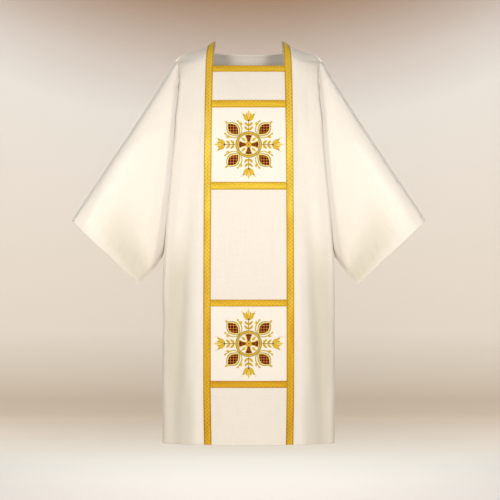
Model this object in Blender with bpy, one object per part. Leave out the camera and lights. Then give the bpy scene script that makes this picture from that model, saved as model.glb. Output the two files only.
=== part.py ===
"""Dalmatic: a front and a back panel, two set-in sleeves, gold galloon braid in two
verticals that run over the shoulders and in cross bands, and two square panels laid
between the bands. Metres, +Z up. The origin is midway between the two high neck points,
the front faces -Y, and the hollow form is that of the garment as it is worn."""

import bmesh
import bpy
import numpy as np

# Thicknesses, gaps, the tolerance on one place and the angle in degrees of a sharp edge.
CLOTH = 0.0020
BRAID = 0.0012
APPLIED = 0.0010
GAP = 0.0003
SEAM_GAP = 0.00032
MITRE_LIMIT = 1.8
VALLEY = 0.35
CORNER_SPREAD = 0.7
TOUCH = 1e-6
SHARP_ANGLE = 40

# Main sizes.
BRAID_WIDTH = 0.022
NECK_DROP = 0.0767
BACK_NECK_DROP = 0.030
UNDERARM_DROP = 0.683
LENGTH = 1.291
HEM_ARC = 0.0015
HEM_POWER = 8

# The face signs are those of Y.
FRONT = -1
BACK = 1

# Columns of the half section, counted outwards from the middle line.
INNER = 3
OUTER = 4
CORNER = 11
WALL = 14
SEAM = 17

# Heights of the rows, as drops below the high neck point. The first row is the shoulder seam.
NECK_BAND = (NECK_DROP, 0.0964)
BACK_BAND = (BACK_NECK_DROP, 0.0486)
BAND_2 = (0.1906, 0.2140)
BAND_3 = (0.4543, 0.4783)
BAND_4 = (0.8299, 0.8509)
BAND_5 = (1.0907, 1.1116)
PLAIN_DROPS = (0.0, 0.012, 0.140, 0.275, 0.335, 0.395, 0.540, 0.606, 0.650, 0.760, 0.930, 1.010, 1.200)

# Shares of the armhole-to-cuff length at which the sleeve has a ring.
SLEEVE_RINGS = (0.0, 0.05, 0.13, 0.24, 0.36, 0.48, 0.60, 0.72, 0.84, 0.93, 1.0)


def table(names, *rows):
    """The columns of a table by name."""
    return dict(zip(names.split(), np.array(rows, float).T))


# Middle line of the vertical braid.
BRAID_LINE = table(
    "drop middle",
    (0.000, 0.1195),
    (0.025, 0.1240),
    (0.077, 0.1269),
    (0.190, 0.1290),
    (0.478, 0.1320),
    (0.850, 0.1332),
    (1.110, 0.1330),
    (1.291, 0.1305),
)

# Shoulder seam: height above the high neck point by distance from the middle line.
SHOULDER = table(
    "out height",
    (0.100, 0.0075),
    (0.109, 0.0068),
    (0.121, 0.0030),
    (0.1355, -0.0085),
    (0.1855, -0.0255),
    (0.2130, -0.0345),
    (0.2290, -0.0440),
    (0.2404, -0.0560),
)

# Body section: outline half width at the fold edges, and for each face the depth of the
# middle line, how far the fold edge lies behind it, and the radius of the fold edge.
BODY = table(
    "drop half_width front_depth front_round front_radius back_depth back_round back_radius",
    (0.000, 0.2404, 0.000, 0.000, 0.006, 0.000, 0.000, 0.008),
    (0.012, 0.2404, 0.033, 0.006, 0.006, 0.037, 0.006, 0.008),
    (0.030, 0.2404, 0.055, 0.014, 0.007, 0.060, 0.012, 0.009),
    (0.0486, 0.2404, 0.068, 0.021, 0.008, 0.074, 0.017, 0.010),
    (0.077, 0.2340, 0.080, 0.028, 0.010, 0.088, 0.022, 0.012),
    (0.0964, 0.2290, 0.088, 0.032, 0.011, 0.096, 0.025, 0.013),
    (0.135, 0.2263, 0.102, 0.038, 0.012, 0.106, 0.029, 0.015),
    (0.178, 0.2283, 0.114, 0.042, 0.013, 0.112, 0.031, 0.016),
    (0.239, 0.2353, 0.125, 0.045, 0.014, 0.116, 0.032, 0.017),
    (0.301, 0.2390, 0.130, 0.047, 0.015, 0.117, 0.032, 0.018),
    (0.446, 0.2524, 0.133, 0.048, 0.016, 0.115, 0.032, 0.020),
    (0.606, 0.2675, 0.137, 0.049, 0.018, 0.115, 0.034, 0.023),
    (0.760, 0.2772, 0.144, 0.052, 0.022, 0.121, 0.038, 0.027),
    (0.930, 0.2786, 0.150, 0.055, 0.025, 0.129, 0.043, 0.031),
    (1.110, 0.2782, 0.157, 0.058, 0.028, 0.138, 0.046, 0.034),
    (1.291, 0.2775, 0.164, 0.061, 0.030, 0.147, 0.050, 0.036),
)
ROUND_POWER = 2.6

# Armhole seam, and below it the side seam: its distance out, and its depth on either face.
SIDE = table(
    "drop out depth",
    (0.0560, 0.2404, 0.000),
    (0.0673, 0.2380, 0.017),
    (0.0820, 0.2345, 0.025),
    (0.1050, 0.2290, 0.032),
    (0.1500, 0.2190, 0.040),
    (0.2140, 0.2215, 0.045),
    (0.3000, 0.2285, 0.047),
    (0.4460, 0.2415, 0.045),
    (0.5400, 0.2510, 0.039),
    (0.6060, 0.2590, 0.031),
    (0.6500, 0.2665, 0.020),
    (0.6830, 0.2765, 0.000),
    (0.7600, 0.2772, 0.000),
    (1.2910, 0.2775, 0.000),
)

# At the shoulder seam the section lies open. Below it the fold closes over this drop.
FOLD_CLOSES = 0.125
OPEN_POWER = 1.6
WALL_BEND = 0.6
FOLD_RISE = 2.0
OPEN_SHARE = table("column share", (OUTER, 0.0), (CORNER, 0.80), (WALL, 0.90), (SEAM, 1.0))
SLOPE_REACH = (NECK_DROP, 0.1906)

# Long folds of the panels. Each runs from its top place to its bottom place, at that
# distance out, and stands out from the cloth by its height, or lies in by a negative one.
# Those that fade end above the hem.
FOLDS = table(
    "face top bottom out_top out_bottom width height fades",
    (FRONT, 0.420, 1.291, 0.152, 0.172, 0.020, 0.0060, 0),
    (FRONT, 0.300, 1.291, 0.172, 0.226, 0.020, -0.0125, 0),
    (FRONT, 0.240, 0.800, 0.206, 0.236, 0.022, 0.0045, 1),
    (FRONT, 0.800, 1.291, 0.250, 0.262, 0.016, 0.0050, 0),
    (BACK, 0.260, 1.291, 0.166, 0.182, 0.026, 0.0070, 0),
    (BACK, 0.330, 1.291, 0.200, 0.236, 0.023, -0.0120, 0),
    (BACK, 0.420, 1.291, 0.018, 0.030, 0.040, -0.0060, 0),
)

# Sleeve: the two ends of the cuff, its half depth, and how far the edges leave a straight
# line. A skew below 1 moves the greatest sag or swell towards the armhole.
CUFF_TOP = (0.5766, -0.5735)
CUFF_BOTTOM = (0.3566, -0.7813)
CUFF_DEPTH = 0.046
UPPER_SAG = 0.0050
UPPER_SKEW = 0.5
LOWER_SWELL = 0.0085
LOWER_SKEW = 0.9
ARM_SWELL = 0.008
CUFF_SECTION = table(
    "share depth",
    (0.00, 0.00),
    (0.03, 0.42),
    (0.08, 0.68),
    (0.16, 0.92),
    (0.25, 1.00),
    (0.45, 0.88),
    (0.70, 0.64),
    (0.88, 0.42),
    (0.96, 0.24),
    (1.00, 0.00),
)


def read(columns, name, key, at):
    """One column of a table where its key column has the given values, on a smooth curve."""
    x = columns[key]
    y = columns[name]
    at = np.clip(at, x[0], x[-1])
    step = np.diff(x)
    slope = np.diff(y) / step
    both = slope[:-1] * slope[1:]
    total = slope[:-1] + slope[1:]
    inner = np.where(both > 0, 2 * both / np.where(total == 0, 1, total), 0)
    tangent = np.concatenate([slope[:1], inner, slope[-1:]])
    cell = np.clip(np.searchsorted(x, at, side="right") - 1, 0, len(step) - 1)
    h = step[cell]
    t = (at - x[cell]) / h
    before = (1 + 2 * t) * (1 - t) ** 2 * y[cell] + t * (1 - t) ** 2 * h * tangent[cell]
    after = t * t * (3 - 2 * t) * y[cell + 1] + t * t * (t - 1) * h * tangent[cell + 1]
    return before + after


def ease(t):
    """0 to 1 with flat ends."""
    t = np.clip(t, 0, 1)
    return t * t * (3 - 2 * t)


def mix(a, b, t):
    return a + (b - a) * t


def relief(face, out, drop):
    """How far the long folds stand out from the cloth at these places."""
    total = np.zeros(np.shape(out))
    for fold in (dict(zip(FOLDS, row)) for row in zip(*FOLDS.values())):
        if fold["face"] != face:
            continue
        down = np.clip((drop - fold["top"]) / (fold["bottom"] - fold["top"]), 0, 1)
        middle = mix(fold["out_top"], fold["out_bottom"], down)
        across = np.exp(-(((out - middle) / fold["width"]) ** 2))
        strength = ease(FOLD_RISE * down) * (1 - fold["fades"] * ease(FOLD_RISE * (down - 1) + 1))
        total = total + fold["height"] * strength * across
    return total


def body_shape(column, drop, face):
    """Outer points of the front or the back at these columns and drops, two like arrays."""
    side = "front" if face == FRONT else "back"
    u = np.abs(column)
    braid = read(BRAID_LINE, "middle", "drop", drop)
    braid_in = braid - BRAID_WIDTH / 2
    braid_out = braid + BRAID_WIDTH / 2

    # Height: the rows start along the sloping shoulder seam and level out below it.
    share = np.where(u < OUTER, 0, read(OPEN_SHARE, "share", "column", u))
    seam_start = BRAID_LINE["middle"][0]
    seam_in = seam_start - BRAID_WIDTH / 2
    seam_out = seam_start + BRAID_WIDTH / 2
    at_seam = np.where(
        u <= OUTER,
        mix(seam_in, seam_out, np.clip(u - INNER, 0, 1)),
        mix(seam_out, SHOULDER["out"][-1], share),
    )
    reach = mix(SLOPE_REACH[0], SLOPE_REACH[1], np.clip((u - INNER) / (SEAM - INNER), 0, 1))
    lift = read(SHOULDER, "height", "out", at_seam) * (1 - ease(drop / reach))
    z = -drop + np.where(u < INNER, 0, lift)

    # Section: nearly flat between the fold edges, round at the edge, then back to the seam.
    edge = read(BODY, "half_width", "drop", -z)
    depth = read(BODY, side + "_depth", "drop", drop)
    back_off = read(BODY, side + "_round", "drop", drop)
    radius = read(BODY, side + "_radius", "drop", drop)
    seam_x = read(SIDE, "out", "drop", -z)
    seam_y = read(SIDE, "depth", "drop", -z)
    tilt = np.arctan(ROUND_POWER * back_off / edge)
    corner_x = edge - radius * (1 - np.sin(tilt))
    corner_y = depth - back_off * (corner_x / edge) ** ROUND_POWER
    t_flat = np.clip((u - OUTER) / (CORNER - OUTER), 0, 1)
    t_round = np.clip((u - CORNER) / (WALL - CORNER), 0, 1)
    t_wall = np.clip((u - WALL) / (SEAM - WALL), 0, 1)
    flat_x = np.where(
        u <= INNER,
        braid_in * u / INNER,
        np.where(u <= OUTER, mix(braid_in, braid_out, u - INNER), mix(braid_out, corner_x, t_flat)),
    )
    flat_y = depth - back_off * (flat_x / edge) ** ROUND_POWER
    turn = mix(tilt, np.pi / 2, t_round)
    round_x = corner_x + radius * (np.sin(turn) - np.sin(tilt))
    round_y = corner_y - radius * (np.cos(tilt) - np.cos(turn))
    wall_start = corner_y - radius * np.cos(tilt)
    bend = mix(wall_start, seam_y, WALL_BEND)
    wall_x = mix(edge, seam_x, t_wall**2)
    wall_y = (1 - t_wall) ** 2 * wall_start + 2 * t_wall * (1 - t_wall) * bend + t_wall**2 * seam_y
    x = np.where(u <= CORNER, flat_x, np.where(u <= WALL, round_x, wall_x))
    y = np.where(u <= CORNER, flat_y, np.where(u <= WALL, round_y, wall_y))
    y = y + relief(face, x, drop) * (1 - ease((u - CORNER + 1) / (WALL - CORNER + 1)))

    # Near the shoulder the section opens out into one smooth curve over the shoulder.
    opened = 1 - ease(drop / FOLD_CLOSES)
    x = mix(x, np.where(u <= OUTER, flat_x, mix(braid_out, seam_x, share)), opened)
    y = mix(y, np.where(u <= OUTER, flat_y, mix(depth, seam_y, share**OPEN_POWER)), opened)
    z = z - HEM_ARC * (drop / LENGTH) ** HEM_POWER * (1 - np.clip(x / edge, 0, 1) ** 2)
    return np.stack([np.sign(column) * x, face * y, z], axis=-1)


def body_points(columns, drops, face):
    """A grid of outer points, one row for each drop."""
    column, drop = np.meshgrid(np.asarray(columns, float), np.asarray(drops, float))
    return body_shape(column, drop, face)


def sleeve_points(rings, drops):
    """Outer points of the sleeve on the +X side: one row a ring, front half then back half.
    The drops are those of the armhole rows, from the shoulder down to the underarm."""
    front = body_points([SEAM], drops, FRONT)[:, 0]
    back = body_points([SEAM], drops, BACK)[:, 0]
    loop = np.concatenate([front, back[-2:0:-1]])
    top = loop[0, 2]
    low = loop[len(drops) - 1, 2]
    share = (top - loop[:, 2]) / (top - low)
    face = np.sign(loop[:, 1])
    along = np.asarray(rings, float)[:, None]
    cuff = np.stack(
        [
            mix(CUFF_TOP[0], CUFF_BOTTOM[0], share),
            face * CUFF_DEPTH * read(CUFF_SECTION, "depth", "share", share),
            mix(CUFF_TOP[1], CUFF_BOTTOM[1], share),
        ],
        axis=-1,
    )
    points = mix(loop[None], cuff[None], along[..., None])
    # The upper edge sags a little, and the lower edge swells out below the underarm.
    upper = np.array([CUFF_TOP[0] - loop[0, 0], CUFF_TOP[1] - top])
    upper = upper / np.linalg.norm(upper)
    lower = np.array([CUFF_BOTTOM[0] - loop[len(drops) - 1, 0], CUFF_BOTTOM[1] - low])
    lower = lower / np.linalg.norm(lower)
    sag = UPPER_SAG * np.sin(np.pi * along**UPPER_SKEW) * (1 - share) ** 2
    swell = LOWER_SWELL * np.sin(np.pi * along**LOWER_SKEW) * share**4
    points[..., 0] += sag * upper[1] + swell * lower[1]
    points[..., 2] += -sag * upper[0] - swell * lower[0]
    filled = read(CUFF_SECTION, "depth", "share", share) * ARM_SWELL * np.sin(np.pi * along)
    points[..., 1] += face * filled
    return points


def cell_corners(cells, width):
    """The four corner indices of each kept cell, in order round the cell."""
    rows, columns = np.nonzero(cells)
    start = rows * width
    after = (columns + 1) % width
    corners = [start + columns, start + after, start + width + after, start + width + columns]
    return np.stack(corners, axis=1)


def cell_triangles(points, cells):
    """Two triangles for each kept cell. The diagonal starts at the corner that is highest
    and nearest the middle line, so that what lies on a cell is split as the cell is."""
    width = points.shape[1]
    corners = cell_corners(cells, width)
    place = points.reshape(-1, 3)[corners]
    height = place[..., 2]
    out = np.abs(place[..., 0])
    first_row_high = height[:, 0] + height[:, 1] > height[:, 2] + height[:, 3]
    first_column_in = out[:, 0] + out[:, 3] < out[:, 1] + out[:, 2]
    through_first = first_row_high == first_column_in
    split = np.where(
        through_first[:, None, None],
        np.array([[0, 1, 2], [0, 2, 3]])[None],
        np.array([[0, 1, 3], [1, 2, 3]])[None],
    )
    return np.take_along_axis(corners[:, None].repeat(2, 1), split, axis=2).reshape(-1, 3)


def surface_vectors(points, cells):
    """For each point: the surface normal, and the way from it into the kept cells."""
    flat = points.reshape(-1, 3)
    normal = np.zeros_like(flat)
    inward = np.zeros_like(flat)
    triangles = cell_triangles(points, cells)
    a, b, c = (flat[triangles[:, k]] for k in range(3))
    facing = np.cross(c - a, b - a)
    for k in range(3):
        np.add.at(normal, triangles[:, k], facing)
    corners = cell_corners(cells, points.shape[1])
    centre = flat[corners].mean(axis=1)
    for k in range(4):
        way = centre - flat[corners[:, k]]
        np.add.at(inward, corners[:, k], way / np.linalg.norm(way, axis=1, keepdims=True))
    return unit(normal).reshape(points.shape), unit(inward).reshape(points.shape)


def unit(vectors):
    length = np.linalg.norm(vectors, axis=-1, keepdims=True)
    return vectors / np.where(length == 0, 1, length)


def boundary_edges(cells, width):
    """Edges with a kept cell on one side only, in the order of that cell."""
    corners = cell_corners(cells, width)
    edges = np.concatenate([corners[:, [k, (k + 1) % 4]] for k in range(4)])
    key = np.sort(edges, axis=1)
    _, index, count = np.unique(key, axis=0, return_inverse=True, return_counts=True)
    return edges[count[index.reshape(-1)] == 1]


def join_seams(pieces):
    """Gives each cloth piece its seam shift and seam normals. Pieces that meet level or on a
    ridge are mitred there, those that meet in a valley end square, and all are parted by the
    seam gap."""
    meeting = {}
    for name, piece in pieces.items():
        normal, inward = surface_vectors(piece["points"], piece["cells"])
        piece["normals"] = normal
        piece["shift"] = np.zeros_like(normal)
        width = piece["points"].shape[1]
        for index in np.unique(boundary_edges(piece["cells"], width)):
            place = (index // width, index % width)
            key = tuple(np.round(piece["points"][place] / TOUCH).astype(int))
            member = (name, place, normal[place].copy(), inward[place])
            meeting.setdefault(key, []).append(member)
    for group in meeting.values():
        for name, place, facing, inward in group:
            others = [member for member in group if member[0] != name]
            if not others:
                continue
            level = [facing] + [
                member[2] for member in others if inward @ member[2] + member[3] @ facing < VALLEY
            ]
            shared = unit(sum(level))
            reach = np.mean([shared @ normal for normal in level])
            pieces[name]["normals"][place] = shared * min(1 / reach, MITRE_LIMIT)
            away = unit(inward - np.mean([member[3] for member in others], axis=0))
            spread = SEAM_GAP / 2 if len(others) == 1 else SEAM_GAP * CORNER_SPREAD
            pieces[name]["shift"][place] = away * spread


def shell(points, normals, cells, low, high):
    """Vertices and triangles of a closed wall over the kept cells, between two offsets."""
    width = points.shape[1]
    flat = points.reshape(-1, 3)
    facing = normals.reshape(-1, 3)
    outer = cell_triangles(points, cells)
    used = np.unique(outer)
    place = np.zeros(len(flat), int)
    place[used] = np.arange(len(used))
    count = len(used)
    outer = place[outer]
    edges = boundary_edges(cells, width)
    a, b = place[edges[:, 0]], place[edges[:, 1]]
    # Both sides of a seam split their rims the same way, from the higher end of each edge.
    falls = (flat[edges[:, 0], 2] > flat[edges[:, 1], 2])[:, None]
    faces = np.concatenate(
        [
            outer,
            outer[:, ::-1] + count,
            np.where(falls, np.stack([b, a, b + count], 1), np.stack([b, a, a + count], 1)),
            np.where(falls, np.stack([a, a + count, b + count], 1), np.stack([b, a + count, b + count], 1)),
        ]
    )
    vertices = np.concatenate([flat[used] + facing[used] * high, flat[used] + facing[used] * low])
    return vertices, faces


def colour_material(name, colour, roughness):
    material = bpy.data.materials.new(name)
    material.use_nodes = True
    shader = material.node_tree.nodes["Principled BSDF"]
    shader.inputs["Base Color"].default_value = (*colour, 1)
    shader.inputs["Roughness"].default_value = roughness
    shader.inputs["Metallic"].default_value = 0.0
    material.diffuse_color = (*colour, 1)
    return material


def add_piece(name, vertices, faces, material):
    """One closed piece, its faces turned outwards."""
    corners = vertices[faces]
    if np.einsum("ij,ij->i", corners[:, 0], np.cross(corners[:, 1], corners[:, 2])).sum() < 0:
        faces = faces[:, ::-1]
    mesh = bpy.data.meshes.new(name)
    shape = bmesh.new()
    points = [shape.verts.new(vertex) for vertex in vertices]
    for face in faces:
        shape.faces.new([points[index] for index in face])
    shape.to_mesh(mesh)
    shape.free()
    mesh.shade_smooth()
    mesh.set_sharp_from_angle(angle=np.radians(SHARP_ANGLE))
    mesh.materials.append(material)
    piece = bpy.data.objects.new(name, mesh)
    bpy.context.scene.collection.objects.link(piece)
    piece.parent = bpy.data.objects["dalmatic"]
    return piece


def row_of(drops, drop):
    return int(np.argmin(np.abs(np.asarray(drops) - drop)))


def laid_on(cloth, rows, columns, thickness, trimmed):
    """A piece that lies on a cloth piece: its points, moved out. The edges named in trimmed
    are drawn in by half the gap, so that the pieces beside it stay clear."""
    points = cloth["points"][rows, columns].copy()
    normals = cloth["normals"][rows, columns]
    half = GAP / 2
    if "left" in trimmed:
        points[:, 0] += unit(points[:, 1] - points[:, 0]) * half
    if "right" in trimmed:
        points[:, -1] += unit(points[:, -2] - points[:, -1]) * half
    if "top" in trimmed:
        points[0] += unit(points[1] - points[0]) * half
    if "bottom" in trimmed:
        points[-1] += unit(points[-2] - points[-1]) * half
    cells = np.ones((points.shape[0] - 1, points.shape[1] - 1), bool)
    return shell(points, normals, cells, GAP, GAP + thickness)


def build_body(cream):
    """Front, back and the two sleeves, mitred and parted at their seams."""
    columns = np.arange(-SEAM, SEAM + 1)
    bands = NECK_BAND + BACK_BAND + BAND_2 + BAND_3 + BAND_4 + BAND_5
    drops = np.array(sorted(set(PLAIN_DROPS + bands + (UNDERARM_DROP, LENGTH))))
    across = columns[:-1] + 0.5
    beside_neck = np.abs(across) > INNER
    pieces = {}
    for name, face, neck in (("front", FRONT, NECK_DROP), ("back", BACK, BACK_NECK_DROP)):
        cells = beside_neck[None] | (drops[:-1] >= neck - TOUCH)[:, None]
        pieces[name] = dict(points=body_points(columns, drops, face), cells=cells, drops=drops)
        if face == BACK:
            pieces[name]["points"] = pieces[name]["points"][:, ::-1]
    armhole = drops[drops <= UNDERARM_DROP + TOUCH]
    ring = sleeve_points(SLEEVE_RINGS, armhole)
    mirrored = ring * np.array([-1, 1, 1])
    whole = np.ones((len(SLEEVE_RINGS) - 1, ring.shape[1]), bool)
    pieces["sleeve_left"] = dict(points=ring[:, ::-1], cells=whole)
    pieces["sleeve_right"] = dict(points=mirrored, cells=whole)
    join_seams(pieces)
    for name, piece in pieces.items():
        moved = piece["points"] + piece["shift"]
        vertices, faces = shell(moved, piece["normals"], piece["cells"], -CLOTH, 0)
        add_piece(name, vertices, faces, cream)
    return pieces


def build_galloon(front, back, gold):
    """The two vertical braids, each from the front hem over the shoulder to the back hem."""
    for name, side in (("galloon_left", 1), ("galloon_right", -1)):
        inner = SEAM + side * INNER
        outer = SEAM + side * OUTER
        across = slice(min(inner, outer), max(inner, outer) + 1)
        ahead = dict(points=front["points"][::-1, across], normals=front["normals"][::-1, across])
        behind = dict(
            points=back["points"][:, ::-1][1:, across],
            normals=back["normals"][:, ::-1][1:, across],
        )
        strip = {key: np.concatenate([ahead[key], behind[key]]) for key in ahead}
        vertices, faces = laid_on(strip, slice(None), slice(None), BRAID, ("left", "right"))
        add_piece(name, vertices, faces, gold)


def build_laid(front, back, gold, white):
    """The cross bands and the square panels, between the inner edges of the two verticals."""
    middle = slice(SEAM - INNER, SEAM + INNER + 1)
    laid = (
        ("neck_band_front", front, NECK_BAND, BRAID, ("left", "right"), gold),
        ("neck_band_back", back, BACK_BAND, BRAID, ("left", "right"), gold),
        ("band_2", front, BAND_2, BRAID, ("left", "right"), gold),
        ("band_3", front, BAND_3, BRAID, ("left", "right"), gold),
        ("band_4", front, BAND_4, BRAID, ("left", "right"), gold),
        ("band_5", front, BAND_5, BRAID, ("left", "right"), gold),
        ("panel_upper", front, (BAND_2[1], BAND_3[0]), APPLIED, ("left", "right", "top", "bottom"), white),
        ("panel_lower", front, (BAND_4[1], BAND_5[0]), APPLIED, ("left", "right", "top", "bottom"), white),
    )
    for name, cloth, (top, bottom), thickness, trimmed, material in laid:
        rows = slice(row_of(front["drops"], top), row_of(front["drops"], bottom) + 1)
        vertices, faces = laid_on(cloth, rows, middle, thickness, trimmed)
        add_piece(name, vertices, faces, material)


def build():
    for old in list(bpy.data.objects):
        bpy.data.objects.remove(old, do_unlink=True)
    bpy.context.scene.collection.objects.link(bpy.data.objects.new("dalmatic", None))
    cream = colour_material("cream_cloth", (0.86, 0.79, 0.65), 0.85)
    gold = colour_material("gold_galloon", (0.72, 0.42, 0.07), 0.45)
    white = colour_material("white_cloth", (0.95, 0.90, 0.80), 0.70)
    pieces = build_body(cream)
    build_galloon(pieces["front"], pieces["back"], gold)
    build_laid(pieces["front"], pieces["back"], gold, white)


build()
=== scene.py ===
"""Dalmatic, its looks: cream cloth with its creases and its painted light and shade, woven gold
galloon with painted light and shade down it, white panels and their raised embroidery, on a
plain pale stage with painted light and shade. Metres, in the frame of the CAD model, whose named
sizes the tables below repeat."""

import bpy
import numpy as np
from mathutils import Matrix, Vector


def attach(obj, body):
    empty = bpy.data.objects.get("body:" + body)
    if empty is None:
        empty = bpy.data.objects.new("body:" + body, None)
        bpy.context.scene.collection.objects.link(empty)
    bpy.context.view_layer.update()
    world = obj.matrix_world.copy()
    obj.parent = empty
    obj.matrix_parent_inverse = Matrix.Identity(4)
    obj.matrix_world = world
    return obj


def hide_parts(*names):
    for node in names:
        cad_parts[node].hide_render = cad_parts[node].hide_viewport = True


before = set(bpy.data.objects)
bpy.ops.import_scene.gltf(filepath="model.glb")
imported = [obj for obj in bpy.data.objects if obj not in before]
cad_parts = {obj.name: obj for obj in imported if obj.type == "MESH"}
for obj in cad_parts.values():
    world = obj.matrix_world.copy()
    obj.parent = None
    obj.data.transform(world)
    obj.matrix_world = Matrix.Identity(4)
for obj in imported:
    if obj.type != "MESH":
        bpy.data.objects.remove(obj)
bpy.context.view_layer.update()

# Thicknesses of what shows, and the gap under what is laid on the cloth.
CLOTH = 0.0018
TURNING = 0.0010
BRAID = 0.0012
APPLIED = 0.0010
GAP = 0.0003

# Main sizes.
BRAID_WIDTH = 0.024
NECK_DROP = 0.0767
BACK_NECK_DROP = 0.030
SHOULDER_DROP = 0.090
UNDERARM_DROP = 0.683
LENGTH = 1.291
HEM_ARC = 0.0015
HEM_POWER = 8
TOUCH = 1e-6
MM = 0.001

# The face signs are those of Y.
FRONT = -1
BACK = 1

# Columns of the half section, counted outwards from the middle line.
INNER = 3
OUTER = 4
CORNER = 11
WALL = 14
SEAM = 17

# Cross bands: face, the drops of the two edges below the high neck point, and cut length.
BANDS = {
    "neck_band_front": (FRONT, NECK_DROP, 0.0974, 0.231),
    "neck_band_back": (BACK, BACK_NECK_DROP, 0.0486, 0.227),
    "band_2": (FRONT, 0.1902, 0.2144, 0.235),
    "band_3": (FRONT, 0.4534, 0.4784, 0.241),
    "band_4": (FRONT, 0.8296, 0.8516, 0.243),
    "band_5": (FRONT, 1.0884, 1.1106, 0.243),
}
# Each panel reaches from the lower edge of one band to the upper edge of the next.
PANELS = {
    "panel_upper": (BANDS["band_2"][2], BANDS["band_3"][1]),
    "panel_lower": (BANDS["band_4"][2], BANDS["band_5"][1]),
}

# Longest cell down the body, down its shoulder and along a braid, and how many cells each
# column of the half section is divided into.
ROW_STEP = 0.0066
TOP_STEP = 0.0030
BRAID_STEP = 0.0016
COLUMN_CELLS = (8,) * INNER + (5,) + (4,) * (WALL - OUTER) + (7,) * (SEAM - WALL)


def table(names, *rows):
    """Columns by name, written in millimetres and kept in metres, apart from the starred ones."""
    columns = zip(names.split(), np.array(rows, float).T)
    return {name.strip("*"): column * (1 if name[0] == "*" else MM) for name, column in columns}


# Middle line of the vertical braid.
BRAID_LINE = table(
    "drop middle",
    (0, 119.5), (25, 124), (77, 126.9), (190, 129), (478, 132), (850, 133.2), (1110, 133),
    (1291, 130.5),
)

# Shoulder seam: height above the high neck point by distance from the middle line.
SHOULDER = table(
    "out height",
    (100, 7.5), (109, 6.8), (121, 3), (135.5, -8.5), (185.5, -25.5), (213, -34.5), (229, -44),
    (240.4, -56),
)

# Body section: outline half width at the fold edges, and for each face the depth of the
# middle line, how far the fold edge lies behind it, and the radius of the fold edge.
BODY = table(
    "drop half_width front_depth front_round front_radius back_depth back_round back_radius",
    (0, 240.4, 0, 0, 6, 0, 0, 8),
    (12, 240.4, 33, 6, 6, 37, 6, 8),
    (30, 240.4, 55, 14, 7, 60, 12, 9),
    (48.6, 240.4, 68, 21, 8, 74, 17, 10),
    (77, 234, 80, 28, 10, 88, 22, 12),
    (96.4, 229, 88, 32, 11, 96, 25, 13),
    (135, 226.3, 102, 38, 12, 106, 29, 15),
    (178, 228.3, 114, 42, 13, 112, 31, 16),
    (239, 235.3, 125, 45, 14, 116, 32, 17),
    (301, 239, 130, 47, 15, 117, 32, 18),
    (446, 252.4, 133, 48, 16, 115, 32, 20),
    (606, 267.5, 137, 49, 18, 115, 34, 23),
    (760, 277.2, 144, 52, 22, 121, 38, 27),
    (930, 278.6, 150, 55, 25, 129, 43, 31),
    (1110, 278.2, 157, 58, 28, 138, 46, 34),
    (1291, 277.5, 164, 61, 30, 147, 50, 36),
)
ROUND_POWER = 2.6

# Armhole seam, and below it the side seam: its distance out, and its depth on either face.
SIDE = table(
    "drop out depth",
    (56, 240.4, 0), (67.3, 238, 17), (82, 234.5, 25), (105, 229, 32), (150, 219, 40),
    (214, 221.5, 45), (300, 228.5, 47), (446, 241.5, 45), (540, 251, 39), (606, 259, 31),
    (650, 266.5, 20), (683, 276.5, 0), (760, 277.2, 0), (1291, 277.5, 0),
)

# At the shoulder seam the section lies open. Below it the fold closes over this drop.
FOLD_CLOSES = 0.125
OPEN_POWER = 1.6
WALL_BEND = 0.6
FOLD_RISE = 2.0
OPEN_SHARE = table("*column *share", (OUTER, 0.0), (CORNER, 0.80), (WALL, 0.90), (SEAM, 1.0))
SLOPE_REACH = (NECK_DROP, 0.1906)

# Long folds: the drop and the distance out at their two ends, and how far they stand out, or
# lie in, if negative. Those that fade end above the hem.
FOLDS = {
    FRONT: table(
        "top bottom out_top out_bottom width height *fades",
        (420, 1291, 152, 172, 20, 6, 0), (300, 1291, 182, 238, 20, -8.6, 0.45),
        (240, 800, 206, 236, 22, 4.5, 1), (800, 1291, 250, 262, 16, 2.2, 0),
    ),
    BACK: table(
        "top bottom out_top out_bottom width height *fades",
        (260, 1291, 166, 182, 26, 7, 0), (330, 1291, 200, 236, 23, -12, 0),
        (420, 1291, 18, 30, 40, -6, 0),
    ),
}

# Sleeve: the two ends of the cuff, its half depth, and how far the edges leave a straight
# line. A skew below 1 moves the greatest sag or swell towards the armhole.
CUFF_TOP = (0.5766, -0.5735)
CUFF_BOTTOM = (0.3566, -0.7813)
CUFF_DEPTH = 0.046
UPPER_SAG = 0.0050
UPPER_SKEW = 0.5
LOWER_SWELL = 0.0085
LOWER_SKEW = 0.9
ARM_SWELL = 0.008
CUFF_SECTION = table(
    "*share *depth",
    (0.00, 0.00), (0.03, 0.42), (0.08, 0.68), (0.16, 0.92), (0.25, 1.00), (0.45, 0.88),
    (0.70, 0.64), (0.88, 0.42), (0.96, 0.24), (1.00, 0.00),
)
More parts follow.
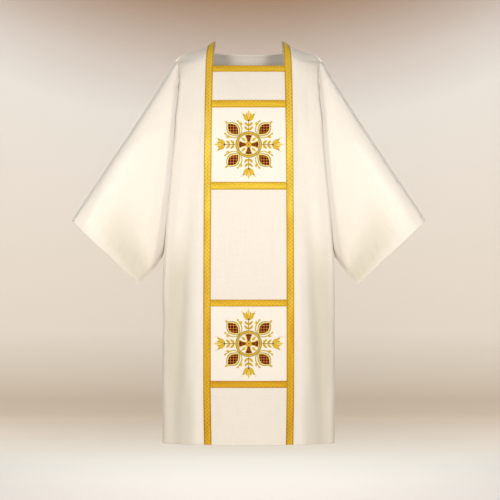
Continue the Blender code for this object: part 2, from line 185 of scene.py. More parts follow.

# Creases, listed one by one: the two ends as x and z, how far it lies in (or stands out, if
# negative), its half width, how far its middle bows to the side, and how much wider one flank
# is than the other.
BODY_CREASES = {
    FRONT: table(
        "x0 z0 x1 z1 depth width bow *lean",
        # Pulls from the shoulder points into the armholes.
        (-234, -50, -221, -150, 3.6, 5.2, 2, 0.4), (-226, -58, -212, -128, 1.4, 6, 1, 0.2),
        (235, -52, 222, -144, 3.4, 5.5, -2, -0.4), (224, -60, 209, -136, 1.2, 6.5, -1, -0.2),
        # Soft hollows between braid and fold edge, above the long folds.
        (-152, -150, -161, -520, 2, 13, 4, 0.3), (150, -190, 163, -560, 2.2, 12, -3, -0.3),
        (-188, -100, -196, -330, 1, 12, -3, 0.1), (190, -120, 197, -300, 1.2, 11, 2, 0.1),
        # Waves of the side edges of the skirt.
        (-231, -600, -244, -1350, 3.4, 20.5, 4, 0.1), (232, -610, 243, -1340, 3.8, 20.5, -4, -0.1),
        (-276, -845, -222, -960, 3, 30, 4, 0.2), (-274, -1060, -236, -1190, -2.6, 26, -3, 0.1),
        (277, -870, 226, -985, 2.8, 28, -4, -0.2), (275, -1085, 240, -1215, -2.4, 25, 3, 0.1),
        (-255, -690, -214, -800, 1.6, 17, 3, 0.2), (256, -705, 212, -830, 1.8, 16, -3, -0.2),
        # Fine breaks beside the braid and across the plain fields.
        (-104, -1125, -88, -1270, 1.3, 11, 2, 0.2), (106, -1130, 92, -1275, 1.4, 11.5, -2, -0.2),
        (-30, -500, -12, -800, -1.2, 28, 4, 0.0), (62, -520, 70, -790, 1, 22, -3, 0.2),
        (-78, -560, -86, -770, 0.8, 16, 2, -0.2), (-60, -110, 18, -172, 0.6, 14, 6, 0.0),
        (10, -1130, 24, -1285, -1.6, 26, 2, 0.1),
    ),
    BACK: table(
        "x0 z0 x1 z1 depth width bow *lean",
        # The back: pulls at the armholes, and drape from the shoulder blades.
        (-234, -52, -218, -160, 3.4, 5.6, 2, 0.4), (235, -50, 217, -150, 3.6, 5.2, -2, -0.4),
        (-60, -120, 50, -165, 1.2, 16, 10, 0.2), (-205, -190, -176, -520, 2.2, 15, 5, 0.3),
        (202, -210, 180, -560, 2, 16, -4, -0.3), (-96, -300, -90, -740, 2, 20, 4, 0.2),
        (88, -340, 98, -820, 2.4, 19, -5, -0.3), (-274, -830, -228, -950, 2.8, 28, 4, 0.2),
        (275, -890, 230, -1010, 3, 29, -3, -0.2), (-62, -900, -70, -1280, -2.6, 24, 3, 0.1),
        (66, -960, 60, -1285, -2.2, 23, -2, 0.1),
    ),
}
SLEEVE_CREASES = {
    FRONT: table(
        "x0 z0 x1 z1 depth width bow *lean",
        # The long ridge over the forearm, and the soft step below it.
        (318, -262, 535, -604, -7.2, 25, -4, -0.2), (362, -390, 466, -650, 2.6, 24, 8, 0.3),
        (300, -300, 372, -520, 1.8, 20, 4, 0.2),
        # Drape from the armhole to the lower edge.
        (258, -262, 318, -640, 2, 18, 6, 0.3), (270, -420, 352, -700, -1, 19, -4, 0.2),
        (246, -96, 262, -230, 1.2, 10, 2, 0.2),
        # Small breaks along the lower half of the cuff.
        (432, -640, 474, -672, 1.7, 7, 2, 0.4), (404, -628, 420, -690, 2.1, 7.5, 2, 0.3),
        (382, -660, 414, -722, 2, 6.5, -2, 0.3), (352, -670, 372, -750, 2.4, 8, 2, -0.3),
        (330, -650, 334, -712, 1.8, 7, 1, 0.2), (446, -596, 494, -632, 1.3, 8, 3, 0.2),
        (300, -610, 318, -690, 1.8, 9, -2, 0.2),
    ),
    BACK: table(
        "x0 z0 x1 z1 depth width bow *lean",
        (322, -262, 545, -592, -4, 24, -4, -0.2), (372, -376, 470, -600, 4, 18, 7, 0.4),
        (262, -240, 322, -620, 2.6, 17, 7, 0.3), (268, -330, 340, -690, -2, 20, -4, 0.2),
        (420, -636, 462, -676, 1.6, 8, 2, 0.4), (380, -640, 396, -710, 1.5, 8, 2, 0.3),
        (340, -680, 366, -742, 1.4, 7, -2, -0.3),
    ),
}
CREASE_FADE = 0.32


def read(columns, name, at):
    """One column of a table where its first column has the given values, on a smooth curve."""
    x = next(iter(columns.values()))
    y = columns[name]
    at = np.clip(at, x[0], x[-1])
    step = np.diff(x)
    slope = np.diff(y) / step
    both = slope[:-1] * slope[1:]
    total = slope[:-1] + slope[1:]
    inner = np.where(both > 0, 2 * both / np.where(total == 0, 1, total), 0)
    tangent = np.concatenate([slope[:1], inner, slope[-1:]])
    cell = np.clip(np.searchsorted(x, at, side="right") - 1, 0, len(step) - 1)
    h = step[cell]
    t = (at - x[cell]) / h
    before = (1 + 2 * t) * (1 - t) ** 2 * y[cell] + t * (1 - t) ** 2 * h * tangent[cell]
    after = t * t * (3 - 2 * t) * y[cell + 1] + t * t * (t - 1) * h * tangent[cell + 1]
    return before + after


def part(at, start, end):
    """0 below the start, 1 above the end, and a straight rise between them."""
    return np.clip((at - start) / (end - start), 0, 1)


def ease(t):
    """0 to 1 with flat ends."""
    t = np.clip(t, 0, 1)
    return t * t * (3 - 2 * t)


def rise(at, start, end, height=1):
    """0 below the start, the height above the end, and a soft rise between them."""
    return height * ease((at - start) / (end - start))


def bell(t):
    """1 at 0, falling off to either side over a width of 1."""
    return np.exp(-(t**2))


def mix(a, b, t):
    return a + (b - a) * t


def unit(vectors):
    length = np.linalg.norm(vectors, axis=-1, keepdims=True)
    return vectors / np.where(length == 0, 1, length)


def rows_of(columns):
    """Each row of a table as a dictionary."""
    return (dict(zip(columns, row)) for row in zip(*columns.values()))


def relief(face, out, drop):
    """How far the long folds stand out from the cloth at these places."""
    total = np.zeros(np.shape(out))
    for fold in rows_of(FOLDS[face]):
        down = part(drop, fold["top"], fold["bottom"])
        middle = mix(fold["out_top"], fold["out_bottom"], down)
        across = bell((out - middle) / fold["width"])
        strength = ease(FOLD_RISE * down) * (1 - fold["fades"] * ease(FOLD_RISE * (down - 1) + 1))
        total = total + fold["height"] * strength * across
    return total


def body_shape(column, drop, face):
    """Outer points of the front or the back at these columns and drops, two like arrays."""
    side = "front" if face == FRONT else "back"
    u = np.abs(column)
    braid = read(BRAID_LINE, "middle", drop)
    braid_in = braid - BRAID_WIDTH / 2
    braid_out = braid + BRAID_WIDTH / 2

    # Height: the rows start along the sloping shoulder seam and level out below it.
    share = np.where(u < OUTER, 0, read(OPEN_SHARE, "share", u))
    seam_start = BRAID_LINE["middle"][0]
    seam_in = seam_start - BRAID_WIDTH / 2
    seam_out = seam_start + BRAID_WIDTH / 2
    at_seam = mix(seam_out, SHOULDER["out"][-1], share)
    at_seam = np.where(u <= OUTER, mix(seam_in, seam_out, part(u, INNER, OUTER)), at_seam)
    reach = mix(*SLOPE_REACH, part(u, INNER, SEAM))
    lift = read(SHOULDER, "height", at_seam) * (1 - ease(drop / reach))
    z = -drop + lift * np.clip(u - INNER + 1, 0, 1)

    # Section: nearly flat between the fold edges, round at the edge, then back to the seam.
    edge = read(BODY, "half_width", -z)
    depth = read(BODY, side + "_depth", drop)
    back_off = read(BODY, side + "_round", drop)
    radius = read(BODY, side + "_radius", drop)
    seam_x = read(SIDE, "out", -z)
    seam_y = read(SIDE, "depth", -z)
    tilt = np.arctan(ROUND_POWER * back_off / edge)
    corner_x = edge - radius * (1 - np.sin(tilt))
    corner_y = depth - back_off * (corner_x / edge) ** ROUND_POWER
    t_wall = part(u, WALL, SEAM)
    beyond = mix(braid_out, corner_x, part(u, OUTER, CORNER))
    flat_x = np.where(u <= OUTER, mix(braid_in, braid_out, u - INNER), beyond)
    flat_x = np.where(u <= INNER, braid_in * u / INNER, flat_x)
    flat_y = depth - back_off * (flat_x / edge) ** ROUND_POWER
    turn = mix(tilt, np.pi / 2, part(u, CORNER, WALL))
    round_x = corner_x + radius * (np.sin(turn) - np.sin(tilt))
    round_y = corner_y - radius * (np.cos(tilt) - np.cos(turn))
    wall_start = corner_y - radius * np.cos(tilt)
    bend = mix(wall_start, seam_y, WALL_BEND)
    wall_x = mix(edge, seam_x, t_wall**2)
    wall_y = (1 - t_wall) ** 2 * wall_start + 2 * t_wall * (1 - t_wall) * bend + t_wall**2 * seam_y
    x = np.where(u <= CORNER, flat_x, np.where(u <= WALL, round_x, wall_x))
    y = np.where(u <= CORNER, flat_y, np.where(u <= WALL, round_y, wall_y))
    y = y + relief(face, x, drop) * (1 - ease((u - CORNER + 1) / (WALL - CORNER + 1)))

    # Near the shoulder the section opens out into one smooth curve over the shoulder.
    opened = 1 - ease(drop / FOLD_CLOSES)
    x = mix(x, np.where(u <= OUTER, flat_x, mix(braid_out, seam_x, share)), opened)
    y = mix(y, np.where(u <= OUTER, flat_y, mix(depth, seam_y, share**OPEN_POWER)), opened)
    z = z - HEM_ARC * (drop / LENGTH) ** HEM_POWER * (1 - np.clip(x / edge, 0, 1) ** 2)
    return np.stack([np.sign(column) * x, face * y, z], axis=-1)


RIPPLE_WAVES = 14
RIPPLE_LENGTH = (0.035, 0.130)
RIPPLE_SPREAD = 0.55
RIPPLE_HEIGHT = 0.00022
BODY_SEED = 7


def ripple(x, z, seed):
    """The slight unevenness of hung cloth: a seeded sum of waves, mostly across the hang."""
    draw = np.random.default_rng(seed)
    total = np.zeros(np.shape(x))
    for _ in range(RIPPLE_WAVES):
        length = draw.uniform(*RIPPLE_LENGTH)
        way = draw.normal(0, RIPPLE_SPREAD)
        phase = draw.uniform(0, 2 * np.pi)
        total += np.sin(2 * np.pi * (np.cos(way) * x + np.sin(way) * z) / length + phase)
    return RIPPLE_HEIGHT * total / np.sqrt(RIPPLE_WAVES)


def creased(creases, x, z):
    """How far the listed creases move the cloth out at these places."""
    total = np.zeros(np.shape(x))
    for crease in rows_of(creases):
        along = np.array([crease["x1"] - crease["x0"], crease["z1"] - crease["z0"]])
        length = np.linalg.norm(along)
        along = along / length
        right = x - crease["x0"]
        up = z - crease["z0"]
        t = (right * along[0] + up * along[1]) / length
        bow = crease["bow"] * 4 * t * (1 - t)
        aside = right * along[1] - up * along[0] - bow
        width = crease["width"] * np.where(aside > 0, 1 + crease["lean"], 1 - crease["lean"])
        fade = ease(np.minimum(t, 1 - t) / CREASE_FADE)
        total -= crease["depth"] * fade * bell(aside / width)
    return total


NORMAL_STEP = (0.02, 0.0006)


def cloth_at(column, drop, face):
    """Points of the creased front or back at these columns and drops, and its normals."""
    wide, tall = NORMAL_STEP
    column = np.asarray(column, float)
    drop = np.asarray(drop, float)
    base = body_shape(column, drop, face)
    across = body_shape(column + wide, drop, face) - body_shape(column - wide, drop, face)
    down = body_shape(column, drop + tall, face) - body_shape(column, drop - tall, face)
    facing = unit(np.cross(across, down)) * face
    x = base[..., 0]
    z = base[..., 2]
    move = creased(BODY_CREASES[face], x, z) + ripple(x, z, BODY_SEED + face)
    # The creases end at the fold edge, where the cloth turns away.
    move = move * (1 - ease((np.abs(column) - WALL) / (SEAM - WALL)))
    return base + facing * move[..., None], facing


def sleeve_points(rings, drops):
    """Outer points of the sleeve on the +X side: one row a ring, front half then back half.
    The drops are those of the armhole rows, from the shoulder down to the underarm."""
    front = body_shape(np.full(len(drops), float(SEAM)), np.asarray(drops), FRONT)
    back = body_shape(np.full(len(drops), float(SEAM)), np.asarray(drops), BACK)
    loop = np.concatenate([front, back[-2:0:-1]])
    top = loop[0]
    low = loop[len(drops) - 1]
    share = (top[2] - loop[:, 2]) / (top[2] - low[2])
    face = np.sign(loop[:, 1])
    along = np.asarray(rings, float)[:, None]
    cuff = np.stack(
        [
            mix(CUFF_TOP[0], CUFF_BOTTOM[0], share),
            face * CUFF_DEPTH * read(CUFF_SECTION, "depth", share),
            mix(CUFF_TOP[1], CUFF_BOTTOM[1], share),
        ],
        axis=-1,
    )
    points = mix(loop[None], cuff[None], along[..., None])
    # The upper edge sags a little, and the lower edge swells out below the underarm.
    upper = unit(np.array(CUFF_TOP) - top[[0, 2]])
    lower = unit(np.array(CUFF_BOTTOM) - low[[0, 2]])
    sag = UPPER_SAG * np.sin(np.pi * along**UPPER_SKEW) * (1 - share) ** 2
    swell = LOWER_SWELL * np.sin(np.pi * along**LOWER_SKEW) * share**4
    points[..., 0] += sag * upper[1] + swell * lower[1]
    points[..., 2] += -sag * upper[0] - swell * lower[0]
    filled = read(CUFF_SECTION, "depth", share) * ARM_SWELL * np.sin(np.pi * along)
    points[..., 1] += face * filled
    return points


def divided(stops, *steps):
    """The stops, and equal parts of each stretch between them, none longer than its step. The
    last step serves all the stretches that are left."""
    found = [stops[0]]
    for k, (low, high) in enumerate(zip(stops[:-1], stops[1:])):
        step = steps[min(k, len(steps) - 1)]
        count = int(np.ceil((high - low) / step - TOUCH))
        found.extend(low + (high - low) * np.arange(1, count + 1) / count)
    return np.array(found)


def half_columns():
    """Columns of the half section from the middle line to the seam, finely divided."""
    return np.concatenate([[0]] + [k + np.arange(1, n + 1) / n for k, n in enumerate(COLUMN_CELLS)])


def running(points, axis):
    """Length along the grid's lines in one direction, from its first point."""
    step = np.linalg.norm(np.diff(points, axis=axis), axis=-1)
    start = np.zeros_like(np.take(step, [0], axis=axis))
    return np.concatenate([start, np.cumsum(step, axis=axis)], axis=axis)


def to_ends(run, axis):
    """Distance to the nearer end of a grid's lines, from the length along them."""
    return np.minimum(run, np.take(run, [-1], axis=axis) - run)


def grid_normals(points, wrap=False):
    """Normals towards the side from which rows run down and columns to the right."""
    if wrap:
        ring = np.concatenate([points[:, -1:], points, points[:, :1]], axis=1)
        across = ring[:, 2:] - ring[:, :-2]
    else:
        across = np.gradient(points, axis=1)
    down = np.gradient(points, axis=0)
    return unit(np.cross(down, across))


def cell_corners(cells, width):
    """The four corner indices of each kept cell, in order round the cell."""
    rows, columns = np.nonzero(cells)
    start = rows * width
    after = (columns + 1) % width
    corners = [start + columns, start + after, start + width + after, start + width + columns]
    return np.stack(corners, axis=1)


def rim_of(corners):
    """Edges with a cell on one side only, each in the order of that cell, and their cells."""
    edges = np.concatenate([corners[:, [k, (k + 1) % 4]] for k in range(4)])
    owner = np.tile(np.arange(len(corners)), 4)
    ends = np.sort(edges, axis=1)
    _, index, count = np.unique(ends, axis=0, return_inverse=True, return_counts=True)
    alone = count[index.reshape(-1)] == 1
    return edges[alone], owner[alone]


CLOTH_MAP = "cloth"
SHARP_ANGLE = 50
ROUND_OUT = 0.42
# The mesh attribute that holds painted light and shade, from -1 for painted shade to 1 for painted
# light.
PAINTED_LIGHT_ATTRIBUTE = "tone"


def add_object(name, data):
    """A new object that shows this mesh, lamp or camera."""
    made = bpy.data.objects.new(name, data)
    bpy.context.scene.collection.objects.link(made)
    return made


def make_mesh(name, vertices, faces, uv, material):
    """An object with this mesh and its cloth coordinates."""
    mesh = bpy.data.meshes.new(name)
    mesh.from_pydata(vertices, [], faces)
    layer = mesh.uv_layers.new(name=CLOTH_MAP)
    corner = np.empty(len(mesh.loops), np.int32)
    mesh.loops.foreach_get("vertex_index", corner)
    layer.data.foreach_set("uv", np.asarray(uv, np.float32)[corner].ravel())
    mesh.shade_smooth()
    mesh.set_sharp_from_angle(angle=np.radians(SHARP_ANGLE))
    mesh.materials.append(material)
    return add_object(name, mesh)


def replace_node(name, kind, slot, tones, *mesh):
    """A piece that rides on the body in place of a node of the CAD. It keeps the painted light and
    shade of its vertices, if it has them."""
    piece = make_mesh(f"{name}_{kind}", *mesh)
    for tone in tones:
        kept = piece.data.attributes.new(PAINTED_LIGHT_ATTRIBUTE, "FLOAT", "POINT")
        kept.data.foreach_set("value", tone.astype(np.float32))
    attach(piece, "root")
    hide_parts(name)
    return piece


def add_shell(name, slot, material, cells, grids, turned_round=False):
    """A closed wall in place of a cloth or panel of the CAD. Its grids are the outer points,
    the normals, the thickness, the cloth coordinates, where the edge is a fold and so is
    rounded outwards, and the painted light and shade, if it has one."""
    if turned_round:
        grids = [grid[:, ::-1] for grid in grids]
    outer, facing, thickness, uv, round_edges, *tone = grids
    width = outer.shape[1]
    flat = outer.reshape(-1, 3)
    inner = (outer - facing * thickness[..., None]).reshape(-1, 3)
    corners = cell_corners(cells, width)
    used = np.unique(corners)
    place = np.zeros(len(flat), int)
    place[used] = np.arange(len(used))
    count = len(used)
    edges, owner = rim_of(corners)
    rim = np.unique(edges)
    centre = flat[corners[owner]].mean(axis=1)
    away = np.zeros_like(flat)
    for end in range(2):
        np.add.at(away, edges[:, end], flat[edges[:, end]] - centre)
    middle = (flat[rim] + inner[rim]) / 2
    thick = np.linalg.norm(flat[rim] - inner[rim], axis=1, keepdims=True)
    push = ROUND_OUT * thick * np.asarray(round_edges, float).reshape(-1)[rim][:, None]
    middle = middle + unit(away[rim]) * push
    spot = np.zeros(len(flat), int)
    spot[rim] = np.arange(len(rim)) + 2 * count
    a = edges[:, 0]
    b = edges[:, 1]
    faces = np.concatenate(
        [
            place[corners][:, ::-1],
            place[corners] + count,
            np.stack([place[a], place[b], spot[b], spot[a]], 1),
            np.stack([spot[a], spot[b], place[b] + count, place[a] + count], 1),
        ]
    )
    vertices = np.concatenate([flat[used], inner[used], middle])
    order = np.concatenate([used, used, rim])
    tones = [grid.reshape(-1)[order] for grid in tone]
    uv = uv.reshape(-1, 2)[order]
    return replace_node(name, "cloth", slot, tones, vertices, faces, uv, material)


# Sewing: how far a seam draws the cloth in, and over what distance; the share of that at the
# fold under the sleeve; how far hems are turned up, and over what length their step fades.
SEAM_DEPTH = 0.0011
SEAM_REACH = 0.0028
UNDER_DEPTH = 0.5
HEM_WIDTH = 0.032
CUFF_HEM = 0.028
HEM_STEP = 0.003


def seam_dip(distance):
    """How far the cloth is drawn in at this distance from a seam."""
    return SEAM_DEPTH * bell(distance / SEAM_REACH)


def hem_thickness(to_hem, width):
    """Thickness of the cloth at this distance from its hem, with the part that is turned up."""
    return CLOTH + TURNING * ease((width - to_hem) / HEM_STEP + 1)


# Painted light and shade on the cloth, from -1 at the deepest painted shade to 1 at the palest
# painted light. Twos and threes are the ends of a soft rise and its height: by the drop, the
# distance out, or the share down or along a sleeve.
# How far a fold stands out for the full painted highlight, or lies in for the full painted shade.
PAINTED_SHADE_HEIGHT = 0.028
# Painted shade down the sides of the skirt, with less of it low down and at the very side edge.
SKIRT_SHADE = (0.54, 0.84, 0.95)
SHADE_OUT = 0.170
SHADE_DRIFT = (0.56, 1.56, 0.014)
SHADE_WIDTH = 0.046
LOW = (1.02, 1.22)
LOW_INWARDS = 0.036
LOW_WIDER = 0.012
LOW_PALER = 0.25
SIDE_PALER = (0.250, 0.272, 0.45)
# Painted light beside the armhole, over a span of the drop.
SEAM_GLOW = 0.030
SEAM_LIGHT = (0.34, 0.44, 1.2)
LIGHT_END = (0.70, 0.74)


def body_painted_shading(height, out, drop, to_side):
    """Painted light and shade of the front or back: painted highlight on folds that stand out and
    beside the armhole, painted shade in creases and down the sides of the skirt."""
    low = rise(drop, *LOW)
    start = SHADE_OUT + rise(drop, *SHADE_DRIFT) - LOW_INWARDS * low
    shade = ease((out - start) / (SHADE_WIDTH + LOW_WIDER * low)) * rise(drop, *SKIRT_SHADE)
    shade = shade * (1 - LOW_PALER * low) * (1 - rise(out, *SIDE_PALER))
    light = bell(to_side / SEAM_GLOW) * rise(drop, *SEAM_LIGHT) * (1 - rise(drop, *LIGHT_END))
    return np.clip(height / PAINTED_SHADE_HEIGHT - shade, -1, 1) + light


# A little painted light over all of each sleeve, and the spans of its painted shade and painted
# light.
SLEEVE_PAINTED_LIGHT = 0.16
SLEEVE_SHADE = (0.18, 0.62, 1.05)
LOWER_SHADE = (0.55, 0.95, 0.35)
ROOT_SHADE = 0.25
ROOT_RISE = (0.50, 0.85, 0.75)
CUFF_PALER = (0.88, 0.98, 0.40)
TOP_LIGHT = (-0.06, 0, 0.9)
UNDER_LIGHT = (0.92, 1, 0.8)
FOLD_LIGHT = (0.12, 0.22, 1.3)
FOLD_GLOW = (0.036, 0.024)


def sleeve_painted_shading(height, share, below, along, drop):
    """Painted light and shade of a sleeve: painted shade over its lower half towards the cuff and
    in its creases, painted light on its ridges, at its upper and lower edges and beside the body,
    with a painted shadow line right under the body's fold."""
    shade = rise(below, *SLEEVE_SHADE) + rise(below, *LOWER_SHADE)
    shade = shade * (ROOT_SHADE + rise(share, *ROOT_RISE)) * (1 - rise(share, *CUFF_PALER))
    light = rise(-below, *TOP_LIGHT) + rise(below, *UNDER_LIGHT) - fold_painted_shadow(along, drop)
    light = light + bell((along - FOLD_GLOW[0]) / FOLD_GLOW[1]) * rise(below, *FOLD_LIGHT)
    return np.clip(SLEEVE_PAINTED_LIGHT + height / PAINTED_SHADE_HEIGHT - shade, -1, 1) + light


# How far from the armhole seam the body's fold hides the sleeve, and how dark the painted shadow
# of the fold is there.
FOLD_HIDES = table(
    "drop reach *dark",
    (100, 0, 0.0), (121, 1, 0.4), (143, 13, 3.0), (175, 20, 3.2), (207, 25, 3.4), (239, 30, 3.3),
    (287, 28, 2.4), (351, 25, 1.6), (543, 25, 1.6), (591, 27, 2.0), (633, 22, 3.2), (683, 20, 3.2),
)
LINE = (-0.006, 0.001)
INSIDE_PALER = (0.004, 0.014, 0.6)


def fold_painted_shadow(along, drop):
    """How dark the painted shadow is on the sleeve where the body's fold lies over it, up to a
    short way past it.
    """
    drops, reach, dark = FOLD_HIDES.values()
    inside = np.interp(drop, drops, reach) - along
    dark = np.interp(drop, drops, dark)
    return dark * (1 - rise(inside, *INSIDE_PALER)) * rise(inside, *LINE)


def build_body(cream):
    """The front and the back, each from its shoulder seams to its hem."""
    half = half_columns()
    columns = np.concatenate([-half[:0:-1], half])
    middle = len(half) - 1
    across = (columns[1:] + columns[:-1]) / 2
    for name, face, neck in (("front", FRONT, NECK_DROP), ("back", BACK, BACK_NECK_DROP)):
        stops = [0, neck, SHOULDER_DROP, UNDERARM_DROP, LENGTH]
        drops = divided(stops, TOP_STEP, TOP_STEP, ROW_STEP)
        column, drop = np.meshgrid(columns, drops)
        points, facing = cloth_at(column, drop, face)
        cells = (np.abs(across) > INNER)[None] | (drops[:-1] >= neck - TOUCH)[:, None]
        over = running(points, 1)
        down = running(points, 0)
        to_side = to_ends(over, 1)
        dip = seam_dip(to_side) + seam_dip(down) * (np.abs(column) >= INNER)
        points = points - facing * dip[..., None]
        uv = np.stack([over - over[:, middle:middle + 1], -down], -1)
        at_neck = (np.abs(column) <= INNER + TOUCH) & (drop <= neck + TOUCH)
        folded = at_neck | (drop >= LENGTH - TOUCH)
        thickness = hem_thickness(down[-1:] - down, HEM_WIDTH)
        out = np.abs(points[..., 0])
        height = relief(face, out, drop)
        height = height + creased(BODY_CREASES[face], points[..., 0], points[..., 2])
        grids = [points, facing, thickness, uv, folded, body_painted_shading(height, out, drop, to_side)]
        add_shell(name, "cream_cloth", cream, cells, grids, face == BACK)


# Rings of the sleeve as shares of its length, finer up to the first of these; how far the
# creases move down on the left and up on the right; and how near to an edge they fade out.
FINE_TO = 0.10
FINE_RING = 0.005
RING_SHARE = 0.0125
CREASE_SHIFT = 0.004
EDGE_CALM = 0.030
SLEEVE_SEEDS = ((FRONT, 31), (BACK, 41))


def build_sleeves(cream):
    """The two sleeves, each a tube from its armhole seam to its cuff."""
    drops = divided([0, SHOULDER_DROP, UNDERARM_DROP], TOP_STEP, ROW_STEP)
    rings = divided([0, FINE_TO, 1], FINE_RING, RING_SHARE)
    plain = sleeve_points(rings, drops)
    half = len(drops)
    for name, side in (("sleeve_left", 1), ("sleeve_right", -1)):
        points = plain * np.array([side, 1, 1])
        facing = grid_normals(points, wrap=True) * -side
        front = np.arange(points.shape[1]) < half
        x = points[..., 0] * side
        z = points[..., 2]
        both = [
            creased(SLEEVE_CREASES[face], x, z + side * CREASE_SHIFT) + ripple(x, z, seed + side)
            for face, seed in SLEEVE_SEEDS
        ]
        move = np.where(front[None], *both)
        over = running(points, 1)
        along = running(points, 0)
        low = over[:, half - 1:half]
        below = np.clip(over[:, :half] / low, 0, 1)
        below = np.concatenate([below, below[:, -2:0:-1]], axis=1)
        tone = sleeve_painted_shading(move, rings[:, None], below, along, -z)
        # Creases end at the folded upper and lower edges.
        to_edge = np.minimum(to_ends(over, 1), np.abs(over - low))
        move = move * ease(to_edge / EDGE_CALM) * ease((along + EDGE_CALM / 4) / EDGE_CALM)
        dip = seam_dip(along) + UNDER_DEPTH * seam_dip(np.abs(over - low))
        points = points + facing * (move - dip)[..., None]
        thickness = hem_thickness(along[-1:] - along, CUFF_HEM)
        uv = np.stack([over, -along], -1)
        folded = np.zeros(points.shape[:2])
        folded[-1] = 1
        cells = np.ones((points.shape[0] - 1, points.shape[1]), bool)
        grids = [points, facing, thickness, uv, folded, tone]
        add_shell(name, "cream_cloth", cream, cells, grids, side > 0)


# The braid's section: its corded edges, by the distance in from them, and the field between.
# Heights are shares of its thickness, and its figure is a row of lozenges.
BRAID_EDGE = table(
    "out *height",
    (0, 0.1), (0.22, 0.55), (0.75, 0.95), (1.35, 1.05), (1.9, 0.85), (2.4, 0.55),
)
FIELD_HEIGHT = 0.62
FIELD_STEPS = 16
FIELD_SPAN = (0.0021, 0.0033)
LOZENGE = 0.0128
LOZENGE_HALF = 0.0068
LOZENGE_RISE = 0.24
CORD_SPAN = (0.0015, 0.0024)
CORD_TWIST = 0.0046
CORD_STRAND = 0.0016
CORD_RISE = 0.10
# Down the garment the braid goes from plain to pale with painted light, back to plain, and then to
# deep gold with painted shade.
BRAID_PAINTED_LIGHT = (0.19, 0.24)
BRAID_PAINTED_LIGHT_END = (0.53, 0.59)
BRAID_PAINTED_SHADE = (0.80, 0.93)


def braid_across(width):
    """Places across a braid of this width, and the height of its section there."""
    out, height = BRAID_EDGE.values()
    field = np.linspace(out[-1], width - out[-1], FIELD_STEPS + 2)[1:-1]
    places = np.concatenate([out, field, width - out[::-1]])
    heights = np.concatenate([height, np.full(FIELD_STEPS, FIELD_HEIGHT), height[::-1]])
    return places, heights * BRAID


def braid_profile(along, width):
    """Height of the braid: a row of raised lozenges, each with a sunk middle, between the
    cords, and the twist of the cords themselves."""
    across, heights = braid_across(width)
    from_edge = np.minimum(across, width - across)
    beside = np.abs(across - width / 2) / LOZENGE_HALF
    step = 1 - np.abs(2 * (along / LOZENGE % 1) - 1)
    lozenges = -LOZENGE_RISE * np.cos(np.pi * (step + beside)) * rise(from_edge, *FIELD_SPAN)
    cords = CORD_RISE * np.cos(2 * np.pi * (along / CORD_TWIST + across / CORD_STRAND))
    cords = cords * (1 - rise(from_edge, *CORD_SPAN)) * (from_edge > TOUCH)
    return heights + BRAID * (lozenges + cords)


def add_braid(name, points, facing, width, material):
    """A closed band in place of one of the CAD: its top is the grid lifted by the profile, and
    its flat underside lies the gap above the cloth. Rows run along the band."""
    rows, columns = points.shape[:2]
    along = running(points[:, columns // 2][:, None], 0)
    over = running(points, 1)
    top = points + facing * (GAP + braid_profile(along, width))[..., None]
    low = points[:, [0, -1]] + facing[:, [0, -1]] * GAP
    uv = np.stack([over - over[:, -1:] / 2, np.broadcast_to(along, over.shape)], -1)
    drop = -points[..., 2]
    # Painted light and shade down the braid, kept as its tone.
    tone = rise(drop, *BRAID_PAINTED_LIGHT) - rise(drop, *BRAID_PAINTED_LIGHT_END) - rise(drop, *BRAID_PAINTED_SHADE)
    grid = cell_corners(np.ones((rows - 1, columns - 1), bool), columns)
    left = np.arange(rows - 1) * columns
    right = left + columns - 1
    size = rows * columns
    below = size + 2 * np.arange(rows - 1)
    faces = [
        *grid[:, ::-1].tolist(),
        *np.stack([left + columns, left, below, below + 2], 1).tolist(),
        *np.stack([right, right + columns, below + 3, below + 1], 1).tolist(),
        *np.stack([below + 2, below, below + 1, below + 3], 1).tolist(),
        [*range(columns), size + 1, size],
        [*range(size - 1, size - columns - 1, -1), size + 2 * rows - 2, size + 2 * rows - 1],
    ]
    vertices = np.concatenate([top.reshape(-1, 3), low.reshape(-1, 3)])
    uv = np.concatenate([uv.reshape(-1, 2), uv[:, [0, -1]].reshape(-1, 2)])
    tones = [np.concatenate([tone.reshape(-1), tone[:, [0, -1]].reshape(-1)])]
    return replace_node(name, "braid", "gold_galloon", tones, vertices, faces, uv, material)


def build_galloons(gold):
    """The two vertical braids, each from the front hem over the shoulder to the back hem."""
    places, _ = braid_across(BRAID_WIDTH)
    drops = divided([0, LENGTH], BRAID_STEP)
    for name, side in (("galloon_left", 1), ("galloon_right", -1)):
        column, drop = np.meshgrid(side * (INNER + places / BRAID_WIDTH)[::side], drops)
        front, _ = cloth_at(column, drop, FRONT)
        back, _ = cloth_at(column, drop, BACK)
        points = np.concatenate([back[::-1], front[1:]])
        piece = add_braid(name, points, grid_normals(points), BRAID_WIDTH, gold)


BAND_CELLS = 168
BAND_INSET = 0.004


def build_bands(gold):
    """The cross bands between the inner edges of the two vertical braids."""
    for name, (face, top, bottom, length) in BANDS.items():
        width = bottom - top
        places, _ = braid_across(width)
        columns = np.linspace(BAND_INSET - INNER, INNER - BAND_INSET, BAND_CELLS + 1)
        column, drop = np.meshgrid(columns * -face, bottom - places)
        points, facing = cloth_at(column, drop, face)
        piece = add_braid(name, points.transpose(1, 0, 2), facing.transpose(1, 0, 2), width, gold)
        under = "front_cloth" if face == FRONT else "back_cloth"


PANEL_CELLS = 72
PANEL_INSET = 0.00015
PANEL_EDGE = 0.45
PANEL_ROUND = 0.005


